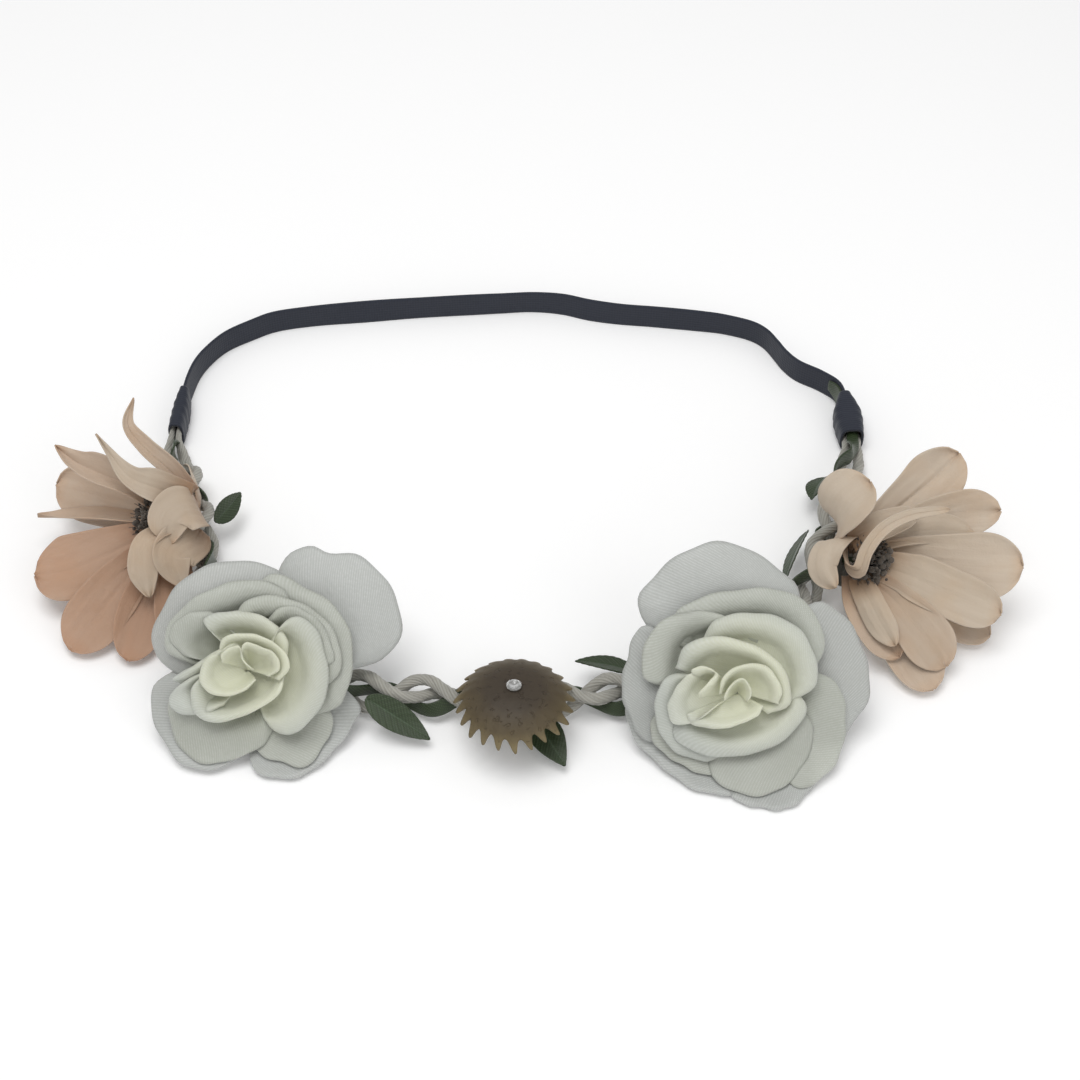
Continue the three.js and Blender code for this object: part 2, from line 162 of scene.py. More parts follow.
class Look:
    """A Principled material. Its methods add nodes and give back their sockets, to feed the next ones."""

    def __init__(self, name, roughness, **settings):
        self.material = bpy.data.materials.new(name)
        self.material.use_nodes = True
        self.tree = self.material.node_tree
        self.shader = self.tree.nodes["Principled BSDF"]
        settings = {"Roughness": roughness, "Subsurface_Radius": WHITE, **settings}
        for key, value in settings.items():
            self.shader.inputs[key.replace("_", " ")].default_value = value

    def node(self, kind, inputs=None, **settings):
        """A new node with its settings. inputs gives sockets, colours or numbers by input name or number."""
        made = self.tree.nodes.new(kind)
        for key, value in settings.items():
            setattr(made, key, value)
        for key, value in (inputs or {}).items():
            socket = made.inputs[key]
            if isinstance(value, bpy.types.NodeSocket):
                self.tree.links.new(value, socket)
            else:
                socket.default_value = rgba(value) if socket.type == "RGBA" else value
        return made

    def mix(self, factor, first, second, blend="MIX"):
        inputs = {0: factor, 6: first, 7: second}
        return self.node("ShaderNodeMix", inputs, data_type="RGBA", blend_type=blend).outputs[2]

    def calculate(self, operation, first, second):
        return self.node("ShaderNodeMath", {0: first, 1: second}, operation=operation).outputs[0]

    def times(self, first, second):
        return self.calculate("MULTIPLY", first, second)

    def plus(self, first, second):
        return self.calculate("ADD", first, second)

    def ramp(self, factor, *stops):
        """A colour that passes through stops, each a factor and a colour."""
        made = self.node("ShaderNodeValToRGB", {0: factor})
        elements = made.color_ramp.elements
        while len(elements) < len(stops):
            elements.new(0.5)
        for element, (position, color) in zip(elements, stops):
            element.position = position
            element.color = rgba(color)
        return made.outputs[0]

    def painted(self, channel):
        """A value painted on the piece: its share from root to rim ("Red"), or its tint ("Green")."""
        paint = self.node("ShaderNodeAttribute", attribute_name="paint").outputs["Color"]
        return self.node("ShaderNodeSeparateColor", {"Color": paint}).outputs[channel]

    def noise(self, scale, detail=4.0, vector=None):
        """Noise over the piece's own metres, or over a vector."""
        source = vector or self.node("ShaderNodeTexCoord").outputs["Object"]
        inputs = {"Vector": source, "Scale": scale, "Detail": detail}
        return self.node("ShaderNodeTexNoise", inputs).outputs["Fac"]

    def cloth(self, **mapping):
        """Places on the flat cloth, scaled or turned by a mapping."""
        uv = self.node("ShaderNodeTexCoord").outputs["UV"]
        return self.node("ShaderNodeMapping", {"Vector": uv, **mapping}).outputs["Vector"]

    def lines(self, spacing, angle=0.0):
        """Even lines over the cloth, spacing millimetres apart and turned by angle degrees."""
        inputs = {
            "Vector": self.cloth(Rotation=(0.0, 0.0, math.radians(angle))),
            "Scale": UV_MM * math.pi / (10.0 * spacing),
            "Distortion": 0.6, "Detail": 1.0, "Detail Scale": 2.0,
        }
        kind = {"wave_type": "BANDS", "bands_direction": "X", "wave_profile": "SIN"}
        wave = self.node("ShaderNodeTexWave", inputs, **kind)
        return wave.outputs["Fac"]

    def done(self, color, height=None, depth=0.0):
        """The material, with its colour and with bumps, depth millimetres deep where height is 1."""
        self.tree.links.new(color, self.shader.inputs["Base Color"])
        if height:
            inputs = {"Height": height, "Distance": depth * MM, "Strength": 1.0}
            bump = self.node("ShaderNodeBump", inputs)
            self.tree.links.new(bump.outputs["Normal"], self.shader.inputs["Normal"])
        return self.material


def floor_material():
    look = Look("pale_floor", 0.9, Emission_Color=rgba(WHITE), Emission_Strength=0.06)
    return look.done(look.mix(look.noise(3.0), (0.955, 0.955, 0.955), (0.965, 0.965, 0.965)))


SATIN_THREAD = 0.3
SATIN_GLINT = (0.78, 0.8, 0.79)
SATIN_SHADE = (0.36, 0.37, 0.35)


def satin_material(name, rim, root):
    """Satin of a rose: one colour at the rim and a brighter one at the root, the brightness painted light
    against the shade there, with a fine diagonal weave and painted glints along its threads.
    """
    look = Look(name, 0.45, Sheen_Weight=0.2, Sheen_Roughness=0.4, Subsurface_Weight=0.3,
                Subsurface_Scale=0.004)
    base = look.mix(look.painted("Green"), rim, root)
    threads = look.times(look.lines(SATIN_THREAD, 35.0), look.lines(SATIN_THREAD * 1.9, -50.0))
    glints = look.times(threads, look.noise(1600.0, 2.0))
    lit = look.mix(look.times(glints, 0.75), base, SATIN_GLINT)
    blotch = look.noise(90.0)
    shaded = look.mix(look.times(blotch, 0.15), lit, SATIN_SHADE)
    return look.done(shaded, look.plus(threads, look.times(blotch, 30.0)), 0.03)


PEACH = (0.44, 0.26, 0.165)
PEACH_STREAK = tuple(value * 0.6 for value in PEACH)


def peach_material(name, cream):
    """Petal fabric, cream to peach by its tint, darker at its root as painted shade and browned at its rim,
    with darker streaks along it.
    """
    look = Look(name, 0.78, Sheen_Weight=0.12, Sheen_Roughness=0.6, Subsurface_Weight=0.2,
                Subsurface_Scale=0.004)
    base = look.mix(look.painted("Green"), cream, PEACH)
    # The root colour is painted shade at the flower's middle; the rim colour is the petal's browned edge.
    root, rim = (0.55, 0.42, 0.32), (0.97, 0.87, 0.78)
    shade = look.ramp(look.painted("Red"), (0.06, root), (0.4, WHITE), (0.9, WHITE), (1.0, rim))
    shaded = look.mix(1.0, base, shade, "MULTIPLY")
    streak = look.noise(3.0, 4.0, look.cloth(Scale=(20.0, 1.6, 1.0)))
    streaked = look.mix(look.times(streak, 0.3), shaded, PEACH_STREAK)
    blush = look.ramp(look.noise(70.0, 3.0), (0.46, WHITE), (0.72, (1.0, 0.9, 0.8)))
    grain = look.noise(2600.0, 2.0)
    dents = look.noise(160.0, 3.0)
    height = look.plus(look.plus(look.times(streak, 4.0), grain), look.times(dents, 9.0))
    return look.done(look.mix(0.8, streaked, blush, "MULTIPLY"), height, 0.06)


def leaf_material():
    look = Look("green_satin", 0.42, Sheen_Weight=0.08)
    blotch = look.noise(160.0)
    threads = look.times(look.lines(0.45, 40.0), look.lines(0.7, -45.0))
    base = look.mix(blotch, (0.01, 0.018, 0.005), (0.024, 0.044, 0.012))
    # Painted glints: the weave's threads lightened towards a paler green.
    thread_glinted = look.mix(look.times(threads, 0.3), base, (0.08, 0.13, 0.04))
    veined = look.mix(look.painted("Green"), thread_glinted, (0.07, 0.11, 0.06))
    return look.done(veined, look.plus(threads, blotch), 0.06)


def cotton_material():
    look = Look("waxed_cotton", 0.75, Sheen_Weight=0.25, Subsurface_Weight=0.1, Subsurface_Scale=0.002)
    fibre = look.times(look.noise(700.0, 6.0), look.lines(0.7, 62.0))
    base = look.mix(look.noise(110.0), (0.27, 0.265, 0.235), (0.46, 0.45, 0.405))
    dark = look.ramp(fibre, (0.05, (0.5, 0.47, 0.42)), (0.4, WHITE))
    # Darker along the fine lines of the fibres.
    fibre_darkened = look.mix(0.4, base, dark, "MULTIPLY")
    # Painted shade: darker in the grooves between the plies, where make_cord paints a lower tint.
    groove_shaded = look.mix(look.painted("Green"), (0.2, 0.19, 0.17), fibre_darkened)
    return look.done(groove_shaded, fibre, 0.2)


def elastic_material():
    look = Look("navy_elastic", 0.75, Sheen_Weight=0.12, Sheen_Roughness=0.5)
    picks = look.lines(0.8)
    fuzz = look.noise(900.0, 3.0)
    base = look.mix(picks, (0.007, 0.01, 0.02), (0.01, 0.014, 0.027))
    fuzzy = look.mix(look.times(fuzz, 0.4), base, (0.018, 0.023, 0.04))
    return look.done(fuzzy, look.plus(picks, fuzz), 0.03)


def horn_material():
    """Brown horn-like plastic, darker at the middle and lighter, more amber towards the see-through teeth:
    partly its own colour, partly painted light shining through the thin teeth.
    """
    look = Look("horn_plastic", 0.55, Transmission_Weight=0.25, IOR=1.35, Subsurface_Weight=0.12,
                Subsurface_Scale=0.003)
    middle, inner = (0.06, 0.045, 0.03), (0.075, 0.058, 0.038)
    outer, teeth = (0.15, 0.115, 0.06), (0.33, 0.26, 0.13)
    base = look.ramp(look.painted("Red"), (0.0, middle), (0.45, inner), (0.8, outer), (1.0, teeth))
    clouds = look.noise(260.0, 5.0)
    clouded = look.mix(look.times(clouds, 0.6), base, (0.06, 0.045, 0.032))
    pits = look.ramp(look.noise(700.0, 2.0), (0.62, BLACK), (0.7, WHITE))
    return look.done(clouded, look.calculate("SUBTRACT", clouds, pits), 0.25)


def speckled_material(name, dark, light, roughness, scale, depth, **settings):
    look = Look(name, roughness, **settings)
    grain = look.noise(scale)
    return look.done(look.mix(grain, dark, light), grain, depth)


MATERIALS = {
    # Two copies of one white satin: the outer rings' copy is darker as painted shade, the heart's copy
    # brighter as painted light against its shadow.
    "white_satin": satin_material("white_satin", (0.365, 0.378, 0.355), (0.47, 0.49, 0.385)),
    "pale_heart_satin": satin_material("pale_heart_satin", (0.485, 0.51, 0.455), (0.68, 0.69, 0.5)),
    "cream_petal": peach_material("cream_petal", (0.56, 0.46, 0.35)),
    "peach_petal": peach_material("peach_petal", (0.54, 0.45, 0.345)),
    "green_satin": leaf_material(),
    "cotton_cord": cotton_material(),
    "elastic_navy": elastic_material(),
    "horn_plastic": horn_material(),
    "stamen_grey": speckled_material(
        "stamen_grey", (0.02, 0.015, 0.012), (0.13, 0.105, 0.08), 0.85, 700.0, 0.3, Sheen_Weight=0.3),
    "felt": speckled_material(
        "felt", (0.03, 0.03, 0.018), (0.08, 0.07, 0.045), 0.95, 900.0, 0.3, Sheen_Weight=0.3),
    "hot_glue": speckled_material(
        "hot_glue", (0.62, 0.58, 0.47), (0.75, 0.72, 0.62), 0.35, 120.0, 0.2,
        Subsurface_Weight=0.3, Subsurface_Scale=0.003),
    "wire": speckled_material("wire", (0.03, 0.045, 0.02), (0.07, 0.09, 0.045), 0.6, 500.0, 0.05),
    "clear_plastic": speckled_material(
        "clear_plastic", (0.4, 0.4, 0.39), (0.55, 0.55, 0.54), 0.2, 300.0, 0.05,
        Transmission_Weight=0.6, IOR=1.49, Coat_Weight=0.5),
}


# ---- Curves and meshes

def unit(vectors):
    vectors = np.asarray(vectors, float)
    return vectors / np.maximum(np.linalg.norm(vectors, axis=-1, keepdims=True), 1e-9)


def smoothstep(x):
    x = np.clip(x, 0.0, 1.0)
    return x * x * (3 - 2 * x)


def distances(points):
    """How far along the line of points each one is."""
    return np.concatenate([[0.0], np.cumsum(np.linalg.norm(np.diff(points, axis=0), axis=1))])


def smooth_curve(points, samples):
    """A centripetal Catmull-Rom curve through points, resampled to even steps."""
    p = np.asarray(points, float)
    p = np.vstack([2 * p[0] - p[1], p, 2 * p[-1] - p[-2]])
    pieces = []
    for i in range(1, len(p) - 2):
        q = p[i - 1:i + 3]
        t = np.concatenate([[0.0], np.cumsum(np.sqrt(np.linalg.norm(np.diff(q, axis=0), axis=1)))])
        u = np.linspace(t[1], t[2], 24, endpoint=False)[:, None]
        a = [((t[k + 1] - u) * q[k] + (u - t[k]) * q[k + 1]) / (t[k + 1] - t[k]) for k in range(3)]
        b = [((t[k + 2] - u) * a[k] + (u - t[k]) * a[k + 1]) / (t[k + 2] - t[k]) for k in range(2)]
        pieces.append(((t[2] - u) * b[0] + (u - t[1]) * b[1]) / (t[2] - t[1]))
    dense = np.vstack([*pieces, p[-2][None]])
    lengths = distances(dense)
    wanted = np.linspace(0.0, lengths[-1], samples)
    return np.stack([np.interp(wanted, lengths, dense[:, k]) for k in range(3)], axis=1)


def columns_of(shape, *values):
    """Values spread over a grid of that shape, as one row for each of its points."""
    return np.stack([np.broadcast_to(value, shape) for value in values], axis=2).reshape(-1, len(values))


def add_piece(name, material, points, faces, cloth=None, paint=(0.0, 1.0)):
    """A smooth mesh, with its points' places on the flat cloth and their painted values."""
    mesh = bpy.data.meshes.new(name)
    mesh.from_pydata(placed(points).tolist(), [], faces)
    mesh.polygons.foreach_set("use_smooth", np.ones(len(faces), bool))
    if cloth is not None:
        loops = np.zeros(len(mesh.loops), np.int32)
        mesh.loops.foreach_get("vertex_index", loops)
        layer = mesh.uv_layers.new(name="cloth")
        layer.data.foreach_set("uv", (cloth / UV_MM)[loops].astype(np.float32).ravel())
        values = np.zeros((len(points), 4), np.float32)
        values[:, :2] = paint
        values[:, 3] = 1.0
        mesh.color_attributes.new("paint", "FLOAT_COLOR", "POINT").data.foreach_set("color", values.ravel())
    mesh.materials.append(MATERIALS[material])
    mesh.update()
    made = bpy.data.objects.new(name, mesh)
    bpy.context.collection.objects.link(made)
    return made


class Sheets:
    """Gathers thick sheets, each a grid of points, into one mesh."""

    def __init__(self):
        self.points = []
        self.faces = []
        self.cloth = []
        self.paint = []
        self.count = 0

    def add(self, grid, cloth, thickness, inside, along=0.0, tint=0.0, wrap=False):
        """grid is rows x columns of points, cloth their two places on the flat cloth, inside a point that
        the inner face looks at, and along and tint what is painted. wrap closes the rows to rings."""
        rows, columns = grid.shape[:2]
        total = rows * columns
        if wrap:
            across = np.roll(grid, -1, axis=1) - np.roll(grid, 1, axis=1)
        else:
            across = np.gradient(grid, axis=1)
        normal = unit(np.cross(across, np.gradient(grid, axis=0)))
        flip = np.sum(normal * (np.asarray(inside, float) - grid)) < 0
        if flip:
            normal = -normal
        half = columns_of((rows, columns), thickness).reshape(rows, columns, 1) / 2
        for layer in (grid + normal * half, grid - normal * half):
            self.points.append(layer.reshape(-1, 3))
            self.cloth.append(columns_of((rows, columns), *cloth))
            self.paint.append(columns_of((rows, columns), along, tint))
        index = np.arange(total).reshape(rows, columns) + self.count
        beside = np.roll(index, -1, axis=1) if wrap else index[:, 1:]
        here = index if wrap else index[:, :-1]
        quads = np.stack([here[:-1], beside[:-1], beside[1:], here[1:]], axis=2).reshape(-1, 4)
        edges = [(here[0], beside[0]), (beside[-1], here[-1])]
        if not wrap:
            edges += [(index[:-1, -1], index[1:, -1]), (index[1:, 0], index[:-1, 0])]
        rims = [np.stack([b, a, a + total, b + total], axis=1) for a, b in edges]
        found = np.concatenate([quads, quads[:, ::-1] + total, *rims])
        self.faces.append(found[:, ::-1] if flip else found)
        self.count += 2 * total

    def build(self, name, material):
        points, faces, cloth, paint = map(np.concatenate, (self.points, self.faces, self.cloth, self.paint))
        return add_piece(name, material, points, faces.tolist(), cloth, paint)


def tube_along(name, material, rings, tint=1.0):
    """A closed tube from rows of section points, capped at both ends."""
    rows, sides = rings.shape[:2]
    index = np.arange(rows * sides).reshape(rows, sides)
    beside = np.roll(index, -1, axis=1)
    quads = np.stack([index[:-1], beside[:-1], beside[1:], index[1:]], axis=2).reshape(-1, 4)
    faces = quads.tolist() + [index[0, ::-1].tolist(), index[-1].tolist()]
    along = distances(rings.mean(axis=1))[:, None]
    around = np.linalg.norm(rings[0] - np.roll(rings[0], 1, axis=0), axis=1).cumsum()
    cloth = columns_of((rows, sides), along, around)
    paint = columns_of((rows, sides), 0.0, tint)
    return add_piece(name, material, rings.reshape(-1, 3), faces, cloth, paint)


def attach(piece, body, *nodes):
    """The piece moves with the body, and is shown in place of the CAD nodes."""
    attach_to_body(piece, body)
    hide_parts(*nodes)


# ---- Elastic strap

ELASTIC_WIDTH = 8.0
ELASTIC_THICKNESS = 0.9
STRAP_RIBS = 9
RIB_DEPTH = 0.05
EDGE_ROUNDING = 0.35
# The strap's route, as x, y points.
STRAP_ROUTE = [
    (88.8, 52), (88.55, 58.9), (87.4, 64), (83, 68.5), (76.3, 73.2), (73, 77.5), (70.8, 82), (68.2, 86.8),
    (64.6, 90.2), (56, 93.6), (49, 95), (35, 97), (24, 98.3), (15, 100.2), (7, 102.8), (-2, 103.8),
    (-12, 103.2), (-37, 101.2), (-55, 99.2), (-70, 97.2), (-81, 94.6), (-87, 91.2), (-94.6, 85.7),
    (-99.4, 79), (-101.8, 73.5), (-103.1, 67), (-103.7, 60.9), (-104, 54),
]


def strap_section():
    """The elastic's section as across, up points: rounded edges and a rib for each rubber thread."""
    points = []
    half = ELASTIC_WIDTH / 2
    for side in (1, -1):
        for height in side * np.linspace(-1.0, 1.0, 41) * (half - EDGE_ROUNDING):
            ridge = RIB_DEPTH * (abs(math.cos(math.pi * STRAP_RIBS * (height + half) / ELASTIC_WIDTH)) - 0.5)
            points.append((side * (ELASTIC_THICKNESS / 2 + ridge), height))
        points.append((side * 0.25, side * half))
        points.append((-side * 0.25, side * half))
    return np.array(points)


def strap_line(route, samples):
    return smooth_curve([(x, y, ELASTIC_WIDTH / 2) for x, y in route], samples)


def blend_like_strap(piece):
    """Bakes the piece's placement into its points."""
    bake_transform(piece)


def make_strap():
    route = strap_line(STRAP_ROUTE, 420)
    along = unit(np.gradient(route, axis=0))
    across = unit(np.cross(along, UP))
    section = strap_section()
    step = np.linspace(0.0, 1.0, len(route))
    sway = 0.35 * np.sin(step * 21.0) + 0.25 * np.sin(step * 47.0 + 1.0)
    lean = sway * smoothstep(step / 0.06) * smoothstep((1 - step) / 0.06) * 0.09
    up = unit(UP + across * lean[:, None])
    side = unit(np.cross(up, -along))
    rings = route[:, None] + section[None, :, :1] * side[:, None] + section[None, :, 1:] * up[:, None]
    strap = tube_along("elastic_strap", "elastic_navy", rings)
    blend_like_strap(strap)
    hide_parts("elastic_left", "elastic_right", "elastic_back")


# ---- Folds of elastic round the ends of the plait

# Mouth and rear of each fold, and how wide it is at its mouth, middle and rear.
FOLDS = {
    "elastic_fold_right": ((89.3, 43.5), (88.6, 59.5), (6.0, 7.4, 3.2)),
    "elastic_fold_left": ((-104.4, 45.5), (-103.7, 61.5), (3.6, 3.8, 2.2)),
}
FOLD_TALL = 8.2
FOLD_HEIGHT = 4.4
FOLD_THICKNESS = 0.7
FOLD_CREASE = 0.12
FOLD_ROWS = 40
FOLD_SIDES = 48


def rounded(wave, power):
    """A wave that stays longer near -1 and 1, which flattens a loop between round ends."""
    return np.sign(wave) * np.abs(wave) ** power


def make_folds():
    angles = np.linspace(0.0, 2 * math.pi, FOLD_SIDES, endpoint=False)
    corner = np.arange(FOLD_SIDES)
    t = np.linspace(0.0, 1.0, FOLD_ROWS)[:, None]
    tall = FOLD_TALL - 0.5 * np.exp(-t / 0.06) + 0.15 * np.sin(t * 9.0)
    crease = FOLD_CREASE * np.sin(t * 30.0 + corner * 0.26) * np.sin(math.pi * t)
    up = rounded(np.sin(angles), 0.55) * tall / 2
    for name, (mouth, rear, (front, middle, back)) in FOLDS.items():
        start = np.array([*mouth, FOLD_HEIGHT])
        end = np.array([*rear, FOLD_HEIGHT])
        length = np.linalg.norm(end - start)
        along = unit(end - start)
        across = np.cross(UP, along)
        widths = smooth_curve([(0, front, 0), (0.5, middle, 0), (1, back, 0)], 200)
        aside = rounded(np.cos(angles), 0.7) * np.interp(t, widths[:, 0], widths[:, 1]) / 2 + crease
        grid = start + along * (t * length)[..., None] + across * aside[..., None] + UP * up[..., None]
        sheets = Sheets()
        sheets.add(grid, (t * length, corner * 0.5), FOLD_THICKNESS, (start + end) / 2, wrap=True)
        attach(sheets.build(name + "_cloth", "elastic_navy"), "garland", name)


TAIL_Y = (57.0, 66.5)
TAIL_GAP = 0.95
TAIL_LENGTH = 10.0


def make_ribbon_tail():
    """The end of the leaf ribbon, which shows against the strap behind the right fold."""
    route = strap_line(STRAP_ROUTE[:6], 60)
    route = route[(route[:, 1] > TAIL_Y[0]) & (route[:, 1] < TAIL_Y[1])]
    inward = unit(np.cross(UP, unit(np.gradient(route, axis=0))))
    v = np.linspace(-1.0, 1.0, 15)
    share = np.linspace(0.0, 1.0, len(route))[:, None]
    reach = 1.0 - 0.55 * share ** 2
    tall = ELASTIC_WIDTH / 2 * (v[None] * 0.96 * reach + (1 - reach) * 0.5)
    bowed = TAIL_GAP + 0.15 * np.cos(v * 2.0)
    grid = route[:, None] + inward[:, None] * bowed[None, :, None] + UP * tall[..., None]
    sheets = Sheets()
    sheets.add(grid, (share * TAIL_LENGTH, tall), 0.4, (0.0, 60.0, 4.0))
    blend_like_strap(sheets.build("ribbon_tail", "green_satin"))


# ---- Plait

CORD_DIAMETER = 3.0
RIBBON_WIDTH = 5.6
RIBBON_THICKNESS = 0.5
PLAIT_PITCH = 48.0
PLAIT_SWING = 3.8
PLAIT_DEPTH = 2.85
PLAIT_TAPER = 12.0
PLAIT_TUCK = 12.0
DISC_PINCH = 0.3
RIBBON_PINCH = 0.2
PINCH_SPAN = 17.0
SQUEEZE_RIGHT = 0.8
SQUEEZE_LEFT = 0.5
SQUEEZE_SPAN = 9.0
PLIES = 3
PLY_PITCH = 15.0
PLAIT_ROUTE = [
    (88.8, 55, 4.3), (89.3, 44, 4.3), (87.8, 34, 5.5), (83.5, 21.5, 7), (78.3, 5, 8.3), (74.3, -7, 8.3),
    (68, -20, 7.6), (54.5, -37.5, 6.3), (38, -46, 6), (22, -48.6, 6), (9, -49.4, 5.4), (-6, -49.8, 4.9),
    (-19, -50, 5.4), (-30, -49.2, 6), (-45, -48, 6), (-57, -45.2, 6), (-69.8, -37, 6), (-83, -23, 7.5),
    (-90, -6, 8.2), (-93.2, 11, 8), (-97.8, 24, 6.8), (-103.2, 35.5, 5.2), (-104.5, 46, 4.3),
    (-103.9, 57, 4.3),
]
# Each strand: its place in the weave in degrees, and its depth and height inside the folds.
STRANDS = {
    "leaf_ribbon": (90.0, (0.0, 1.8)),
    "braid_cord_1": (210.0, (1.9, -0.8)),
    "braid_cord_2": (330.0, (-1.9, -0.8)),
}


def fold_squeeze(along, length):
    """How far the folds press the strands together: 1 outside them."""
    right = 1 - (1 - SQUEEZE_RIGHT) * (1 - smoothstep((along - PLAIT_TUCK) / SQUEEZE_SPAN))
    left = 1 - (1 - SQUEEZE_LEFT) * (1 - smoothstep((length - along - PLAIT_TUCK) / SQUEEZE_SPAN))
    return right * left


def near_disc(along, length):
    """1 where the disc's pin holds the plait, and falling off to both sides."""
    return np.exp(-(((along - length / 2) / PINCH_SPAN) ** 2))


def strand_path(turn, slot, samples):
    """A strand's centreline, the plait's outward and upward directions and the distance along it, and how
    far it is woven there: 0 in the folds, 1 between them."""
    route = smooth_curve(PLAIT_ROUTE, samples)
    tangent = unit(np.gradient(route, axis=0))
    length = distances(route)[-1]
    along = np.linspace(0.0, length, samples)
    up = unit(UP - tangent * tangent[:, 2:])
    outward = np.cross(up, tangent)
    start = PLAIT_TUCK + PLAIT_TAPER
    weaves = round((length - 2 * start) / PLAIT_PITCH)
    phase = 2 * math.pi * weaves * np.clip((along - start) / (length - 2 * start), 0, 1) + math.radians(turn)
    woven = smoothstep((np.minimum(along, length - along) - PLAIT_TUCK) / PLAIT_TAPER)
    pinch = 1 - DISC_PINCH * near_disc(along, length)
    tucked = slot[1] * np.where(along < length / 2, 1.0, -1.0)
    swing = tucked + (PLAIT_SWING * pinch * np.sin(phase) - tucked) * woven
    depth = (slot[0] + (PLAIT_DEPTH * np.sin(2 * phase) - slot[0]) * woven) * fold_squeeze(along, length)
    return route + up * swing[:, None] + outward * depth[:, None], outward, up, along, woven


def make_cord(name, turn, slot):
    path, _, up, along, _ = strand_path(turn, slot, 1000)
    tangent = unit(np.gradient(path, axis=0))
    first = unit(np.cross(up, tangent))
    second = np.cross(tangent, first)
    angles = np.linspace(0.0, 2 * math.pi, 30, endpoint=False)[None]
    s = along[:, None]
    twist = 2 * math.pi * s / PLY_PITCH
    lobe = np.abs(np.cos(PLIES / 2 * (angles - twist)))
    threads = 0.035 * np.cos(9 * (angles - twist * 1.15))
    wobble = 0.04 * np.sin(s / 3.1) + 0.03 * np.sin(s / 1.3 + angles * 2)
    radius = CORD_DIAMETER / 2 * (0.88 + 0.18 * lobe ** 0.7 + threads + wobble)
    flat = fold_squeeze(s, along[-1])
    rings = (path[:, None] + first[:, None] * (radius * np.cos(angles) * flat)[..., None]
             + second[:, None] * (radius * np.sin(angles))[..., None])
    # The tint is lower in the grooves between the plies, where cotton_material paints shade.
    cord = tube_along(name + "_twisted", "cotton_cord", rings, smoothstep(lobe * 3.0 + 0.35))
    attach(cord, "garland", name)


def make_ribbon():
    path, outward, up, along, woven = strand_path(*STRANDS["leaf_ribbon"], 520)
    tangent = unit(np.gradient(path, axis=0))
    face = outward * woven[:, None] + up * (1 - woven)[:, None]
    face = unit(face - tangent * np.sum(face * tangent, axis=1, keepdims=True))
    across = np.cross(face, tangent)
    width = RIBBON_WIDTH * (1 - RIBBON_PINCH * near_disc(along, along[-1])) * (0.55 + 0.45 * woven)
    u = np.linspace(-1.0, 1.0, 15)[None]
    s = along[:, None]
    aside = width[:, None] / 2 * u
    curl = 0.55 * u ** 2 + 0.12 * np.sin(s / 2.3 + u * 2.0) - 0.2
    grid = path[:, None] + across[:, None] * aside[..., None] - face[:, None] * curl[..., None]
    sheets = Sheets()
    sheets.add(settled(grid), (s, aside), RIBBON_THICKNESS, path.mean(axis=0))
    attach(sheets.build("leaf_ribbon_cloth", "green_satin"), "garland", "leaf_ribbon")


# ---- Leaves

# Each leaf: its base and tip, the way its face looks, and its width.
LEAVES = {
    "leaf_1": ((-43.5, -53.9, 10.8), (-27.6, -60.0, 2.0), (0.1, -0.6, 0.8), 7.6),
    "leaf_2": ((-1.8, -56.0, 5.6), (6.2, -67.8, 1.6), (0.1, -0.3, 0.95), 8.8),
    "leaf_3": ((25.0, -41.4, 5.0), (9.0, -40.4, 8.5), (0.0, 0.35, 0.94), 7.2),
    "leaf_4": ((-88.4, 7.2, 9.5), (-82.8, 19.4, 8.0), (0.75, -0.25, 0.6), 6.0),
    "leaf_5": ((79.6, 26.6, 6.5), (74.6, 15.4, 9.5), (-0.5, 0.1, 0.86), 7.0),
    "leaf_6": ((72.8, 5.8, 7.0), (64.8, -14.0, 8.5), (-0.85, 0.2, 0.5), 7.0),
    "leaf_7": ((-66.0, -32.8, 6.5), (-56.0, -17.0, 9.0), (0.0, 0.0, 1.0), 8.5),
    "leaf_8": ((46.0, -36.8, 6.5), (40.0, -18.0, 9.0), (0.0, 0.0, 1.0), 8.5),
}
LEAF_VEINS = 9.0
LEAF_THICKNESS = 0.35


def make_leaf(name, base, tip, facing, width):
    base = np.array(base)
    spine = np.array(tip) - base
    length = np.linalg.norm(spine)
    along = spine / length
    face = unit(np.array(facing) - along * np.dot(facing, along))
    across = np.cross(face, along)
    t = np.linspace(0.0, 1.0, 60)[:, None]
    u = np.linspace(-1.0, 1.0, 27)[None]
    half = width / 2 * (np.sin(math.pi * t ** 0.8) ** 0.75 * (1 - 0.15 * t) + 0.1 * (1 - t))
    ripple = np.abs(np.sin((t * LEAF_VEINS - np.abs(u) * 2.2) * math.pi))
    midrib = np.exp(-((u / 0.07) ** 2))
    bow = 0.7 * np.sin(math.pi * t)
    height = bow + 0.16 * np.abs(u) * half + 0.12 * ripple * np.abs(u) - 0.12 * midrib
    grid = base + along * (t * length)[..., None] + across * (half * u)[..., None] + face * height[..., None]
    tint = np.clip(0.55 * midrib + 0.22 * ripple ** 14 * (np.abs(u) < 0.85), 0, 1)
    sheets = Sheets()
    sheets.add(settled(grid), (t * length, half * u), LEAF_THICKNESS, base + face * 50.0, t, tint)
    attach(sheets.build(name + "_satin", "green_satin"), name, name)


# ---- Flowers


def attach_whorl(made, name, ring):
    """Fixes a whorl of petals to the garland, in place of its CAD ring."""
    attach(made, "garland", f"{name}_{ring}")


# How a rose petal leaves the middle and reaches its rim: two Bezier handles as share of reach and of height.
FLOPPED = ((0.15, 0.75), (0.7, 1.2))
OPEN = ((0.5, 0.15), (0.8, 1.1))
UPRIGHT = ((0.62, 0.15), (0.86, 0.95))
# How far a petal's two corners draw in towards the middle, and how far they dive under the next petal.
END_TUCK = 0.16
END_DIVE = 0.22
ROSE_FRILL = 0.35
ROSE_THICKNESS = 0.35
